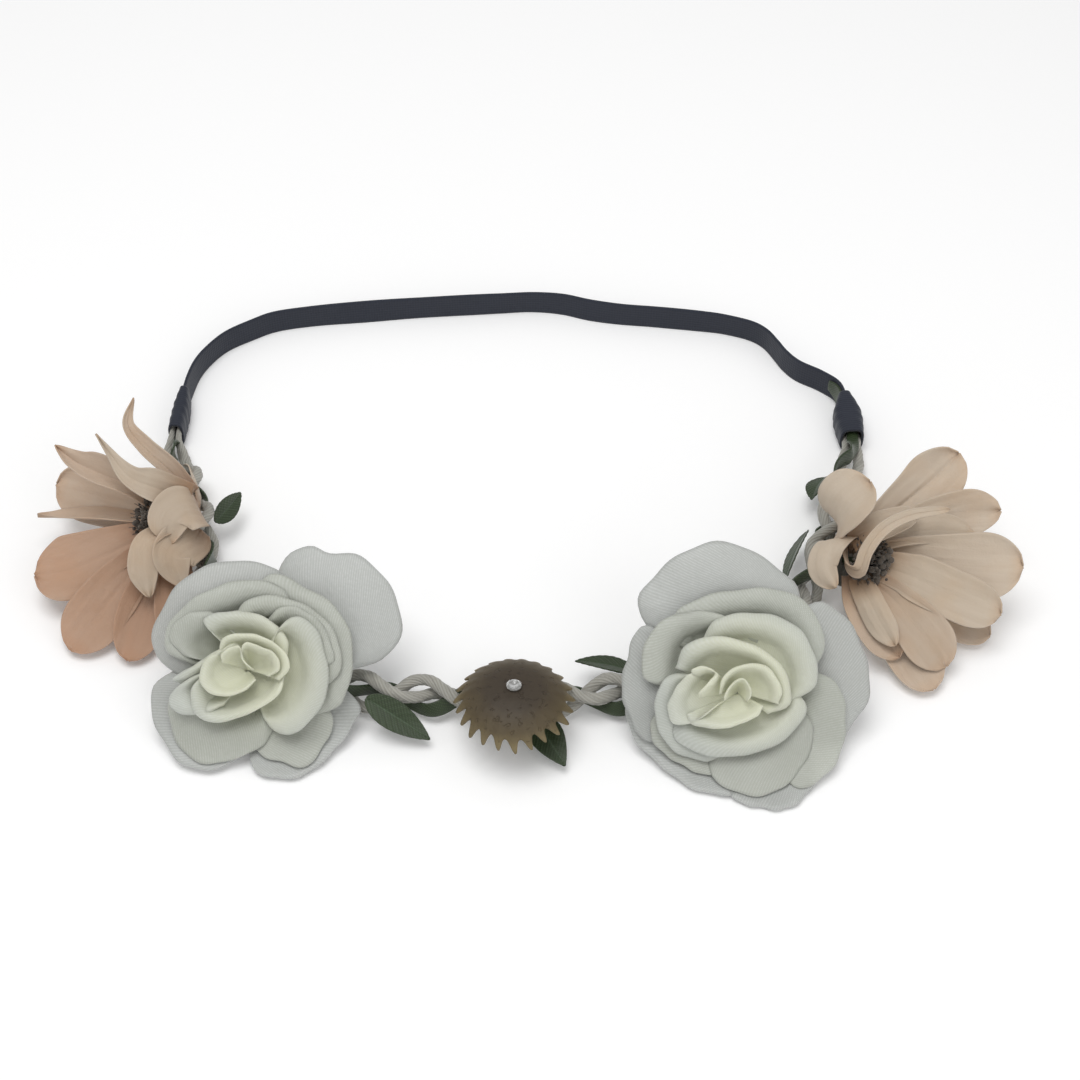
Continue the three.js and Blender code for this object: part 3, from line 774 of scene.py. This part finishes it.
# The tint goes from that of the root to that of the rim over this much, from this far out.
TINT_START = 7.0
TINT_SPAN = 15.0


def bezier(t, first, second):
    """A cubic Bezier curve from 0 to 1 with two handles."""
    return 3 * t * (1 - t) ** 2 * first + 3 * t * t * (1 - t) * second + t ** 3


def rose_petal(sheets, origin, petal, tints, middle, base):
    """A petal that spreads from the rose's middle to a rim through points, where it rolls out by its lip."""
    ((s1, h1), (s2, h2)), lip, rim = petal
    curve = smooth_curve(rim, 46)
    centre = np.array([*middle, base])
    spread = curve - centre
    reach = np.linalg.norm(spread[:, :2], axis=1)
    t = np.linspace(0.0, 1.0, 28)[:, None]
    u = np.linspace(-1.0, 1.0, len(curve))[None]
    ends = smoothstep((np.abs(u) - 0.72) / 0.28)
    share = 0.06 + 0.94 * bezier(t, s1, s2) * (1 - END_TUCK * ends * t)
    climb = bezier(t, h1, h2) - END_DIVE * ends * t ** 2
    rolled = lip * np.sin(math.pi * np.clip((t - 0.55) / 0.45, 0, 1) ** 0.7) * (t < 1)
    phase = rim[0][0] + rim[-1][1]
    wave = ROSE_FRILL * (np.sin(4.1 * u + phase) + 0.5 * np.sin(9.7 * u + 2 * phase)) * t ** 3
    edge = 0.25 * np.sin(13.0 * u + phase) * np.sin(5.0 * u) * t ** 8
    flat = centre[:2] + spread[None, :, :2] * (share * (1 + edge / 20.0))[..., None]
    height = base + spread[None, :, 2] * climb + (rolled + wave) * (1 - 0.7 * ends)
    grid = settled(to_world(origin, np.concatenate([flat, height[..., None]], axis=2)))
    around = distances(curve)
    cloth = ((around - around[-1] / 2) * share, share * reach + 0.8 * height)
    distance = np.linalg.norm(flat, axis=2)
    # The tint rises towards the heart: yellow-green, and brighter as painted light against the shade among the
    # inner petals.
    tint = tints[1] + (tints[0] - tints[1]) * smoothstep((distance - TINT_START) / TINT_SPAN)
    sheets.add(grid, cloth, ROSE_THICKNESS, to_world(origin, (0.0, 0.0, 60.0)), t, tint)


# Each petal: its style, its lip and the points of its rim.
ROSE_LEFT = {
    "outer_petals": [
        (FLOPPED, 1, [(24.5, -5, 3), (25.5, -9, 2.6), (23, -14, 2.4), (19.5, -19.5, 2), (13, -25, 1.8),
            (6, -26.8, 1.8), (-1, -25, 2), (-4, -20, 2.5)]),
        (FLOPPED, 1.2, [(2.5, 22, 3), (6.5, 28.5, 3), (12.5, 30.8, 3), (17, 29.3, 3.4), (24, 28.4, 3.6),
            (30.5, 23.5, 3.8), (35.2, 15, 4), (34.8, 7.5, 4), (30.5, 2.6, 4), (22, -1.5, 4)]),
        (FLOPPED, 1.2, [(-22, 2, 4), (-26.5, -4, 4), (-27.2, -9.5, 4), (-24.8, -16.8, 4), (-19.5, -23.2, 4),
            (-13, -24.7, 4), (-6, -22.7, 4.4), (0, -18.5, 5), (3, -12, 5.5)]),
        (FLOPPED, 1.2, [(11, 20, 4), (4.6, 24.8, 4.6), (-5, 27.3, 5), (-14, 25.4, 5), (-20.5, 21, 5),
            (-25.3, 13.6, 5), (-26.9, 7, 5), (-24.5, 1.5, 5.2), (-20.6, -4.1, 6)]),
    ],
    "middle_petals": [
        (FLOPPED, 1, [(19, -8, 6), (17.9, -15.6, 5.4), (14, -22, 5.2), (10.8, -24.2, 5.2),
            (6.5, -22.9, 5.4), (2.8, -22.4, 5.6), (-1.1, -18.7, 6.2), (-1, -12, 7)]),
        (OPEN, 1.4, [(-4, 20, 8), (3.6, 24, 7.6), (11.2, 20.9, 8), (19.4, 15.3, 8.2), (23.5, 7.4, 8.4),
            (23.2, -1, 8.4), (20.4, -8.7, 8), (16, -14, 7.6)]),
        (FLOPPED, 1.2, [(6, -14.5, 8), (0, -19.5, 7), (-6, -22, 6.6), (-13, -23.4, 6.4),
            (-18.5, -20.5, 6.4), (-21.8, -14.5, 6.6), (-22.4, -8, 7), (-19, -2, 8)]),
        (OPEN, 1.3, [(12, 15.5, 8.6), (6, 20.6, 8.6), (-2, 22.6, 8.6), (-10, 20.6, 8.6), (-17, 17, 8.6),
            (-22, 11.5, 8.8), (-22.6, 5, 9), (-17, 1, 9.6)]),
        (OPEN, 1.2, [(-8, 13.5, 10.6), (0, 18.2, 10.4), (8, 17.8, 10.4), (15, 14.2, 10.6), (20, 8, 10.6),
            (21, 1, 10.6), (18.4, -6, 10.4)]),
        (OPEN, 0.9, [(2, 14, 11.2), (9, 16, 11.2), (15.6, 12.4, 11.4), (18.8, 6.4, 11.4), (19.2, 1.6, 11.4),
            (16.6, 2.4, 11.6)]),
        (OPEN, 0.9, [(-7, 11.5, 10.6), (-12, 14.6, 10.2), (-18, 13.4, 10), (-21.8, 9.2, 10),
            (-18.6, 4.2, 10.2), (-14.4, 2.6, 10.6)]),
    ],
    "inner_petals": [
        (OPEN, 1.2, [(-22.5, -4, 10), (-20, -1.5, 11), (-15, 1.5, 12), (-9.5, 5, 13), (-3, 8.5, 13)]),
        (OPEN, 1, [(-10, 9, 12), (-13, 12.5, 11.4), (-10, 14.2, 11.2), (-3, 14.6, 11.4), (3.5, 12.6, 11.8),
            (7.5, 8.5, 12.4), (9.4, 3.5, 13)]),
        (OPEN, 1.4, [(5.6, 7.5, 13.4), (7.4, 12.2, 13), (11, 13.4, 12.8), (14.6, 10.6, 12.6),
            (17.2, 4.6, 12.4), (17.9, -3, 12.2), (15.4, -9.6, 11.8), (10.5, -14.8, 11), (5, -16.2, 10.4),
            (2.5, -14, 10.4)]),
        (OPEN, 0.8, [(-12, 0.5, 11.4), (-18, -3, 11.2), (-21.6, -6.8, 11), (-20.4, -9.8, 11),
            (-15.5, -10.8, 11.2), (-9, -10, 11.8)]),
        (UPRIGHT, 1, [(-13, 0.5, 12.8), (-15.6, -4.5, 12.6), (-15.3, -9.4, 12.2), (-13, -12.1, 12),
            (-8.8, -12.6, 12), (-3.3, -11, 12.4), (2, -8.6, 12.8), (6.5, -5, 13.4), (8.8, -1, 13.8)]),
    ],
    "bud": [
        (UPRIGHT, 0.8, [(-8.5, 6, 14), (-12.8, 1.8, 14), (-13.2, -2.4, 13.8), (-11, -5.2, 13.6),
            (-7.3, -6, 13.6), (-3.3, -5, 14), (0.8, -2.4, 14.4)]),
        (UPRIGHT, 0.8, [(-10, 5, 14.6), (-7, 8.6, 14.6), (-2, 9.4, 14.8), (3, 8.2, 15), (7.4, 5.2, 15.2),
            (8.8, 1.5, 15.2), (7.6, -2.5, 15)]),
        (UPRIGHT, 0.5, [(-9, 2.8, 15.2), (-6.8, 5.4, 15.4), (-3.6, 6.4, 15.8), (-2.6, 3.2, 15.8),
            (0.2, 0.6, 15.4)]),
        (UPRIGHT, 0.5, [(-3.6, 4.4, 15.6), (-1.9, 7.2, 16.2), (2, 6.2, 16.4), (5.4, 4.6, 16.2),
            (6.4, 1.2, 15.6), (4.6, -1.4, 15.2)]),
    ],
}
ROSE_RIGHT = {
    "outer_petals": [
        (FLOPPED, 1, [(-27, -2, 3), (-29.4, -8, 2.8), (-27, -15.4, 2.4), (-22.2, -21, 2), (-14, -26.6, 1.8),
            (-4, -28.8, 1.8), (3, -26, 2)]),
        (FLOPPED, 1, [(-6, -26, 2.4), (-3.4, -29.2, 2.2), (3.2, -31.6, 2.2), (8.6, -31.8, 2.2),
            (13, -30, 2.4), (16.8, -26.6, 2.6), (19, -20, 3.2)]),
        (FLOPPED, 1.2, [(12.5, 16.5, 4), (18.5, 18.8, 4), (24.7, 15.2, 4), (29, 9.2, 4), (31.4, 1, 4),
            (30.6, -6.8, 4), (26, -13.6, 4), (24.2, -18, 4), (20, -21, 4.2)]),
        (FLOPPED, 1.6, [(-20, 7, 4.4), (-25.2, 14.2, 4.4), (-26.2, 20, 4.2), (-22, 25.4, 4), (-15, 30.8, 4),
            (-7.2, 33.7, 4), (-0.7, 32.8, 4), (8, 27.2, 4.2), (14.6, 21, 4.6), (16, 15, 5)]),
        (FLOPPED, 1.2, [(-20, 14, 5.2), (-26, 12, 4.8), (-29.2, 4.6, 4.8), (-30.3, -2.2, 4.8),
            (-29, -9, 4.8), (-25.4, -15.4, 4.8), (-20, -18.4, 5.4)]),
    ],
    "middle_petals": [
        (FLOPPED, 1.2, [(17.5, 3, 7.4), (23, -2, 6.6), (25.2, -8, 6.2), (24.4, -17.2, 5.8),
            (19.6, -24.4, 5.4), (13, -27.3, 5.2), (7.5, -25, 5.6)]),
        (FLOPPED, 1.2, [(-21, -6, 6.6), (-23.4, -13, 6.2), (-20, -19, 6), (-14, -22.4, 6), (-8, -24, 6),
            (-4, -20, 6.6)]),
        (OPEN, 1.3, [(-21, 10, 7.8), (-17, 16.4, 7.6), (-10, 20, 7.6), (-3, 21.6, 7.8), (5, 22.2, 8),
            (12.4, 20.2, 8), (17.6, 15.2, 8.2), (19.8, 7, 8.4), (18.6, 0, 8.6)]),
        (FLOPPED, 1.3, [(-11, -18.6, 7.4), (-8, -24.8, 6.8), (-2.4, -28.1, 6.4), (4.5, -28.4, 6.4),
            (10.6, -25.8, 6.6), (15, -20.8, 6.8), (17, -13, 7.4), (14.4, -6.4, 8.6)]),
        (OPEN, 1.2, [(-20, -3.5, 9), (-25, 0, 8.8), (-25.4, 5.5, 8.8), (-23, 12, 8.8), (-17, 15.8, 8.8),
            (-9, 16.4, 9), (-2, 14, 9.4), (4, 12, 10)]),
    ],
    "inner_petals": [
        (OPEN, 1.3, [(-13, 11, 10.4), (-6, 15, 10.4), (1.5, 16.2, 10.6), (8, 15, 10.8), (13.4, 11.6, 11),
            (17, 5, 11), (17, -1.8, 11), (13.6, -6.2, 11.2)]),
        (OPEN, 1.2, [(-14, 3, 10.4), (-20.4, -0.6, 10), (-22.3, -6, 9.8), (-21.6, -12.6, 9.4),
            (-18, -17.6, 9), (-11, -20.4, 8.8), (-4, -20.6, 9)]),
        (OPEN, 1.2, [(-20, -8.5, 11), (-18.6, -13.6, 10.6), (-13.8, -17.4, 10.4), (-7, -19.2, 10.4),
            (0, -18.8, 10.6), (7, -16.4, 10.8), (12.4, -12, 10.8), (15.4, -6, 10.2), (13.6, -2, 9.8)]),
        (OPEN, 1.4, [(-20, 3.6, 12.2), (-15.4, 8, 12.4), (-9.4, 10.4, 12.6), (-2.6, 9.6, 13),
            (3.4, 7.4, 13.2), (8, 3.6, 13.4), (10.4, -2, 13.4), (10.2, -7, 12.8), (6.6, -9.6, 12.4)]),
    ],
    "bud": [
        (UPRIGHT, 0.8, [(-12.5, 3.4, 13.4), (-17.6, -2.4, 13), (-19.4, -6.6, 12.8), (-18, -10.8, 12.6),
            (-13, -10.4, 12.8), (-9, -7.4, 13.4)]),
        (UPRIGHT, 0.8, [(-17, -9.6, 13), (-11.6, -11.6, 13.2), (-5, -11.8, 13.4), (1, -9.6, 13.8),
            (5, -7.2, 14.2)]),
        (UPRIGHT, 0.8, [(-15.6, 1.6, 14), (-11, 3.2, 14.4), (-8, 1.6, 14.8), (-10.6, -1.6, 14.8),
            (-13.6, -4.6, 14.2)]),
        (UPRIGHT, 1, [(-7.8, -3.6, 14.2), (-5.6, 1.2, 15), (-1.6, 3.6, 15.6), (4, 3.4, 15.8),
            (7.4, -0.6, 15.6), (9, -6.4, 14.8)]),
        (UPRIGHT, 0.6, [(-6.4, -5.6, 14.2), (-4.4, -1.6, 14.8), (-1.4, 0.4, 15.2), (0.6, -2.4, 15.2),
            (0.4, -5.8, 14.6)]),
    ],
}
# Each rose: its place, where the folds at its heart meet, and its petals.
ROSES = {
    "rose_left": ((-70.0, -45.6, 12.4), (-2.5, 0.0), ROSE_LEFT),
    "rose_right": ((50.7, -48.4, 12.9), (-2.0, -3.5), ROSE_RIGHT),
}
# Each ring's cloth, its tint at its rim and at its root, and how high it starts.
# Tint 0 is white and 1 the yellow-green of the heart, which is also brighter: painted light against the shade
# deep among the petals.
ROSE_RINGS = {
    "outer_petals": ("white_satin", (0.0, 0.7), 1.0),
    "middle_petals": ("white_satin", (0.5, 1.0), 2.6),
    "inner_petals": ("pale_heart_satin", (0.0, 0.9), 5.5),
    "bud": ("pale_heart_satin", (0.25, 1.0), 9.0),
}


def make_rose(name, origin, heart, rings):
    for ring, (material, tints, base) in ROSE_RINGS.items():
        sheets = Sheets()
        middle = heart if material == "pale_heart_satin" else (0.0, 0.0)
        for petal in rings[ring]:
            rose_petal(sheets, origin, petal, tints, middle, base)
        attach_whorl(sheets.build(f"{name}_{ring}_cloth", material), name, ring)


PEACH_ROWS = 48
PEACH_COLUMNS = 31
PEACH_THICKNESS = 0.32


def peach_petal(sheets, origin, spine, widths, look, cup=0.2, fold=0.0, tip=0.7, frill=0.5, pleat=0.35,
                tint=0.0):
    """A long petal along a spine of points, with its width at each, its face towards look and a rounded
    tip. cup dishes it, fold closes it like a book by its degrees, and pleat creases its middle."""
    path = smooth_curve(spine, PEACH_ROWS)
    knots = distances(spine)
    t = np.linspace(0.0, 1.0, PEACH_ROWS)[:, None]
    u = np.linspace(-1.0, 1.0, PEACH_COLUMNS)[None]
    width = smooth_curve(np.stack([knots / knots[-1], widths, np.zeros(len(knots))], axis=1), 200)
    half = np.interp(t, width[:, 0], width[:, 1]) / 2
    half = half * np.sqrt(np.clip(1 - np.clip((t - tip) / (1 - tip), 0, 1) ** 2.6, 0.003, 1))
    along = unit(np.gradient(path, axis=0))
    looks = np.atleast_2d(np.asarray(look, float))
    face = looks[0] + (looks[-1] - looks[0]) * smoothstep(t)
    face = unit(face - along * np.sum(face * along, axis=1, keepdims=True))
    side = np.cross(along, face)
    close = math.radians(fold)
    across = u * half
    crease = pleat * np.exp(-((u / 0.1) ** 2)) * (1 - 0.7 * t)
    ribs = 0.05 * np.cos(u * 13.0) * np.sin(math.pi * t ** 0.7)
    seed = spine[-1][0]
    ruffle = frill * np.sin(u * 4.2 + seed) * t ** 3
    ruffle = ruffle + 0.5 * frill * np.sin(t * 9.0 + u * 2.0 + seed) * u ** 2
    rise = np.abs(across) * math.sin(close) + cup * u ** 2 * half - crease + ribs + ruffle
    aside = across * math.cos(close)
    local = path[:, None] + side[:, None] * aside[..., None] + face[:, None] * rise[..., None]
    grid = settled(to_world(origin, local))
    middle = grid[PEACH_ROWS // 2, PEACH_COLUMNS // 2]
    toward = to_world((0, 0, 0), face[PEACH_ROWS // 2])
    sheets.add(grid, (across, t * knots[-1]), PEACH_THICKNESS, middle + toward * 200.0, t, tint)


# Each petal: its spine, its widths, the way its face looks (at its root and at its tip), and its settings.
PEACH_LEFT = {
    "outer_petals": [
        # The first two petals take some of the peach tint to darken them: painted shade over these upper
        # petals.
        ([(-1, 1, -2), (-12, 4.5, -9), (-24, 7.5, -12), (-35.5, 10.5, -13)], [4, 11, 16, 16],
            (-0.2, -0.1, 1), {"tint": 0.3}),
        ([(-1, 0.5, -1), (-11, 0.8, -3), (-22, 1.5, -5), (-31, 1.8, -6), (-38.8, 2, -6)], [4, 9, 12, 9, 3],
            (0, 1, 0.32), {"tip": 0.5, "tint": 0.4}),
        ([(-1, -1, 0), (-12, -5.5, 2), (-20, -9.3, 3), (-29, -12.8, 4), (-37, -14, 4)],
            [4, 11, 15.5, 18.5, 17], (-0.1, 0.3, 1), {"tint": 0.85, "pleat": 0.6}),
        ([(-2, -3, 1), (-10, -12, 5), (-16, -20, 8), (-21.5, -27.5, 9), (-25.5, -33.5, 9.5)],
            [4, 11, 15, 16, 14], (0.1, 0.2, 1), {"tint": 0.9, "pleat": 0.5}),
        ([(-1, -4, 2), (-4, -14, 6), (-7, -24, 9), (-10, -36, 12)], [4, 10, 14, 12], (0.1, 0.2, 1),
            {"tint": 1}),
        ([(1, -4, 2), (1, -14, 7), (2, -24, 10), (4, -32, 12)], [4, 9, 12, 10], (0.2, 0.2, 1), {"tint": 1}),
        ([(5, 4, -3), (4, 7, -12), (1, 10, -22), (-4, 13, -31)], [5, 10, 13, 10], (-0.9, -0.2, 0.4), {}),
    ],
    "inner_petals": [
        ([(-1, 2.5, 0), (-9.5, 8.6, 2), (-19, 12.6, 3), (-26, 16, 4), (-31.4, 20.4, 5)],
            [5, 9, 9.5, 6.5, 2.4], (-0.2, 0.5, 1), {"fold": 30, "tip": 0.8, "tint": 0.35}),
        ([(4, 7.5, 0), (-2, 14, 1), (-8.5, 20, 2), (-12.8, 26, 2), (-11.2, 33.2, 2)], [5, 6.5, 5.5, 4, 1.6],
            (0.4, 0.2, 1), {"fold": 35, "tip": 0.6, "tint": 0.2}),
        ([(4, 6, 3), (-4, 9, 7), (-10.5, 11.8, 10), (-15.5, 18, 11), (-19, 23, 12)], [8, 9.5, 6, 2.4, 1.2],
            (0.3, 0.3, 1), {"fold": 10, "tip": 0.7}),
        ([(6.8, 2, 0), (6.2, 3.6, 5), (3, 3.4, 9), (0.2, 0.6, 11), (0.4, -5.8, 11)], [8, 12, 14, 12, 4],
            [(0.5, 0.5, 0.5), (0.1, 0.35, 1)], {"fold": -8, "tip": 0.75, "tint": 0.1, "frill": 0.15}),
        ([(6.6, -1.5, 2), (6, -4, 6), (2.6, -6.4, 10), (1, -9, 12), (3.6, -17, 11.5)], [7, 11, 13, 11, 4],
            [(0.6, 0.2, 0.5), (0.3, 0.15, 1)], {"fold": -8, "tip": 0.75, "tint": 0.1, "frill": 0.15}),
        ([(2, -2.6, 6), (-2.4, -2.6, 10), (-6, -5.6, 12.5), (-6.4, -11.6, 13.5), (-4.6, -19.6, 13.5)],
            [5, 6, 6.5, 8, 4], [(-0.2, 0.7, 0.6), (0.1, 0.15, 1)], {"fold": -6, "tint": 0.05}),
    ],
}
PEACH_RIGHT = {
    "outer_petals": [
        ([(1.5, 2, 0), (10, 10, -3), (19, 17, -5), (25.5, 22.5, -5), (31, 28.5, -4)], [4, 9, 13, 15.5, 15],
            (0, 0.1, 1), {"pleat": 1.6, "cup": 0.3}),
        ([(2, 1, 1), (13, 6, 0), (23, 10.5, -1), (33, 12.8, -1), (41.3, 13.2, -1)], [4, 9, 12, 13, 11],
            (0, -0.2, 1), {}),
        ([(2, 0, 2), (14, 0.5, 4), (26, -0.5, 6), (37, -1.5, 8), (45, -1.8, 8)], [5, 11, 15, 18, 16],
            (-0.1, -0.1, 1), {}),
        ([(2, -2, 0), (14, -8, 0), (25, -13.5, 0), (37.5, -19.8, 1)], [4, 9, 12, 12], (0, 0.2, 1),
            {"tint": 0.15}),
        ([(2, -3, 2), (9, -13, 6), (14.5, -22, 9), (20.5, -33, 12)], [4, 10, 14, 14], (0, 0.2, 1),
            {"tint": 0.2}),
        ([(1, -4, 3), (3, -12, 8), (7, -19, 11), (12, -25, 12.5)], [5, 9, 10, 8], (0, 0.2, 1),
            {"tint": 0.3}),
        ([(-2, 3, -2), (0, 8, -10), (4, 13, -19), (9, 17, -27)], [5, 10, 13, 11], (0.8, -0.2, 0.5), {}),
    ],
    "inner_petals": [
        ([(3, 3, 3), (12, 6.5, 4), (24, 8, 3), (34, 6.8, 2)], [5, 8, 9, 6], (0, 0.5, 1), {}),
        ([(3, -0.5, 4), (13, -3, 8), (23, -7.5, 10), (32, -11.5, 11), (38.5, -14, 11)], [5, 10, 13, 13, 12],
            (0, 0.1, 1), {"pleat": 0.5}),
        ([(3, -3, 5), (10, -9, 9), (15.5, -15.5, 11), (20, -21.5, 12), (24, -27.4, 12)],
            [5, 9, 12.5, 14, 13], (0, 0.1, 1), {"tint": 0.2, "pleat": 0.5}),
        ([(2, -4, 6), (4, -9, 10), (6.5, -15, 13), (10.5, -21.8, 15)], [5, 7, 7.5, 5], (-0.3, 0.2, 1),
            {"cup": -0.2}),
        ([(-0.5, 6, 2), (-3.4, 10, 8), (-1.6, 15.6, 12), (4.6, 20.4, 12)], [5, 11, 15.5, 13],
            [(-0.6, 0.5, 0.6), (-0.2, 0.3, 1)], {"fold": -4, "cup": 0.25}),
        ([(1, 4.6, 4), (-2.4, 6, 9), (-6.2, 4, 13), (-7.6, -1.5, 14.5), (-4.6, -7, 14)], [6, 7, 7.5, 8, 7],
            [(-0.5, 0.8, 0.2), (0.2, 0.1, 1)], {"fold": -10, "cup": -0.2}),
        ([(0, 5, 8), (5, 8, 10), (12, 10.5, 9), (18, 12.4, 6)], [7, 8, 7, 5], (0, 0.2, 1), {"fold": -10}),
        ([(0.4, 5, 4), (-1, 1.4, 8), (-0.4, -2, 12), (1.4, -2.4, 15), (3.4, 3, 15.5), (7.6, 8.2, 14.5),
            (14.6, 11.6, 12.5), (25.4, 13.2, 11)], [3, 3.6, 4, 3.8, 3.6, 3.4, 3, 2],
            [(-0.7, -0.6, 0.3), (0.2, 0.3, 1)], {"tip": 0.9, "fold": 8, "frill": 0.1}),
    ],
}
# Each peach flower: its place, the way its middle faces, its petals and how far its middle stands out.
PEACHES = {
    "peach_left": ((-97.0, 1.1, 15.8), (-0.88, -0.35, 0.25), PEACH_LEFT, 5.5),
    "peach_right": ((80.5, -10.7, 14.0), (0.79, -0.41, 0.46), PEACH_RIGHT, 8.0),
}


def make_peach(name, origin, facing, rings, rise):
    for ring, material in (("outer_petals", "cream_petal"), ("inner_petals", "peach_petal")):
        sheets = Sheets()
        for spine, widths, look, settings in rings[ring]:
            peach_petal(sheets, origin, spine, widths, look, **settings)
        attach_whorl(sheets.build(f"{name}_{ring}_cloth", material), name, ring)
    make_stamens(name, np.array(origin), unit(facing), rise)


STAMEN_COUNT = 260
BEAD_RADII = (0.35, 0.4, 0.5, 0.9)
GOLDEN_ANGLE = 2.39996


def ball(radius, centre, rings=6, sides=9):
    """Points and faces of a small bead."""
    points = [centre + np.array([0, 0, radius])]
    for i in range(1, rings):
        polar = math.pi * i / rings
        for k in range(sides):
            angle = 2 * math.pi * k / sides
            points.append(centre + radius * np.array([
                math.sin(polar) * math.cos(angle), math.sin(polar) * math.sin(angle), math.cos(polar),
            ]))
    points.append(centre - np.array([0, 0, radius]))
    faces = []
    last = len(points) - 1
    for k in range(sides):
        after = (k + 1) % sides
        faces.append((0, 1 + k, 1 + after))
        faces.append((last, last - sides + after, last - sides + k))
        for i in range(rings - 2):
            a = 1 + i * sides
            faces.append((a + k, a + sides + k, a + sides + after, a + after))
    return np.array(points), faces


def make_stamens(name, origin, axis, rise):
    """The dark middle: small beads on short threads, packed over a dome."""
    dice = random.Random(name)
    level = unit(np.cross(UP, axis))
    other = np.cross(axis, level)
    root = origin + axis * (rise - 4.0)
    points, faces, count = [], [], 0
    for k in range(STAMEN_COUNT):
        polar = math.acos(1 - 0.95 * (k + 0.5) / STAMEN_COUNT)
        angle = k * GOLDEN_ANGLE
        reach = dice.uniform(5.0, 8.6)
        centre = root + (level * math.cos(angle) + other * math.sin(angle)) * reach * math.sin(polar)
        centre = centre + axis * (1.5 + reach * math.cos(polar))
        beads, bead_faces = ball(dice.choice(BEAD_RADII), centre)
        points.append(beads)
        faces += [tuple(i + count for i in face) for face in bead_faces]
        count += len(beads)
        direction = unit(centre - root)
        beyond = centre + direction * dice.uniform(0.2, 1.6)
        beyond = beyond + np.array([dice.uniform(-0.6, 0.6) for _ in range(3)])
        side = unit(np.cross(direction, UP))
        cross = np.cross(direction, side)
        around = np.array([side, cross, -side, -cross])
        points.append(np.concatenate([root + around * 0.3, beyond + around * 0.12]))
        for corner in range(4):
            after = (corner + 1) % 4
            faces.append((count + corner, count + after, count + 4 + after, count + 4 + corner))
        faces += [(count + 3, count + 2, count + 1, count), (count + 4, count + 5, count + 6, count + 7)]
        count += 8
    stamens = add_piece(f"{name}_stamens", "stamen_grey", np.concatenate(points), faces)
    attach(stamens, "garland", f"{name}_centre")


# ---- Serrated disc and its pin

DISC_RADIUS = 15.0
DISC_RISE = 6.8
DISC_TILT = 0.07
DISC_TEETH = 23
DISC_BORE = 1.1
DISC_FLUTING = 0.16
TOOTH_LENGTH = 2.3
TOOTH_SKEW = 0.09
PIN_SIDES = 32
PIN_OVAL = 1.12
# The pin's radius and height, from the foot of its shank to the dish in its head.
PIN_PROFILE = [
    (0.65, -5.8), (0.65, 0.2), (1.4, 0.3), (1.75, 0.6), (1.7, 1.0), (1.4, 1.3), (1.05, 1.35), (0.7, 1.1),
    (0.4, 0.95),
]


def make_disc():
    f = np.linspace(0.0, 1.0, 22)[:, None]
    angle = np.linspace(0.0, 2 * math.pi, DISC_TEETH * 16, endpoint=False)[None]
    step = angle * DISC_TEETH
    tooth = (0.5 - 0.5 * np.cos(step + 0.45 * np.sin(step))) ** 1.3
    uneven = 0.25 * np.sin(angle * 3 + 0.7) + 0.2 * np.sin(angle * 7)
    rim = DISC_RADIUS + uneven - TOOTH_LENGTH * tooth
    radius = DISC_BORE + (rim - DISC_BORE) * f
    share = radius / DISC_RADIUS
    turned = angle + TOOTH_SKEW * share ** 4
    x, y = radius * np.cos(turned), radius * np.sin(turned)
    fluting = DISC_FLUTING * np.cos(step) * smoothstep((share - 0.5) / 0.5)
    height = -DISC_RISE * share ** 3 + fluting - DISC_TILT * y
    centre = np.array([*DISC_AXIS, DISC_TOP - 0.5])
    grid = centre + np.stack([x, y, height], axis=2)
    sheets = Sheets()
    sheets.add(grid, (x, y), 0.95 - 0.4 * share ** 3, centre - UP * 30.0, along=share, wrap=True)
    attach(sheets.build("serrated_disc_shell", "horn_plastic"), "disc", "serrated_disc")


def make_pin():
    """The pin's dished clear head and shank, turned about its axis."""
    angles = np.linspace(0.0, 2 * math.pi, PIN_SIDES, endpoint=False)
    radius, height = np.array(PIN_PROFILE).T[..., None]
    x, y = radius * np.cos(angles) * PIN_OVAL, radius * np.sin(angles)
    rings = np.array([*DISC_AXIS, DISC_TOP]) + np.stack([x, y, height * np.ones(PIN_SIDES)], axis=2)
    pin = tube_along("disc_pin_head", "clear_plastic", rings[:, ::-1])
    attach(pin, "garland", "disc_pin")


# ---- CAD nodes that stay in view

def finish_cad_nodes():
    for name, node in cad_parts.items():
        for ending, material in (("glue_pad", "hot_glue"), ("calyx", "felt"), ("stem", "wire")):
            if name.endswith(ending):
                node.data.materials.clear()
                node.data.materials.append(MATERIALS[material])


# ---- Making the scene

add_camera()
add_stage()
make_strap()
make_folds()
make_ribbon_tail()
for strand in ("braid_cord_1", "braid_cord_2"):
    make_cord(strand, *STRANDS[strand])
make_ribbon()
for leaf_name, leaf_shape in LEAVES.items():
    make_leaf(leaf_name, *leaf_shape)
for rose_name, rose_shape in ROSES.items():
    make_rose(rose_name, *rose_shape)
for peach_name, peach_shape in PEACHES.items():
    make_peach(peach_name, *peach_shape)
make_disc()
make_pin()
finish_cad_nodes()
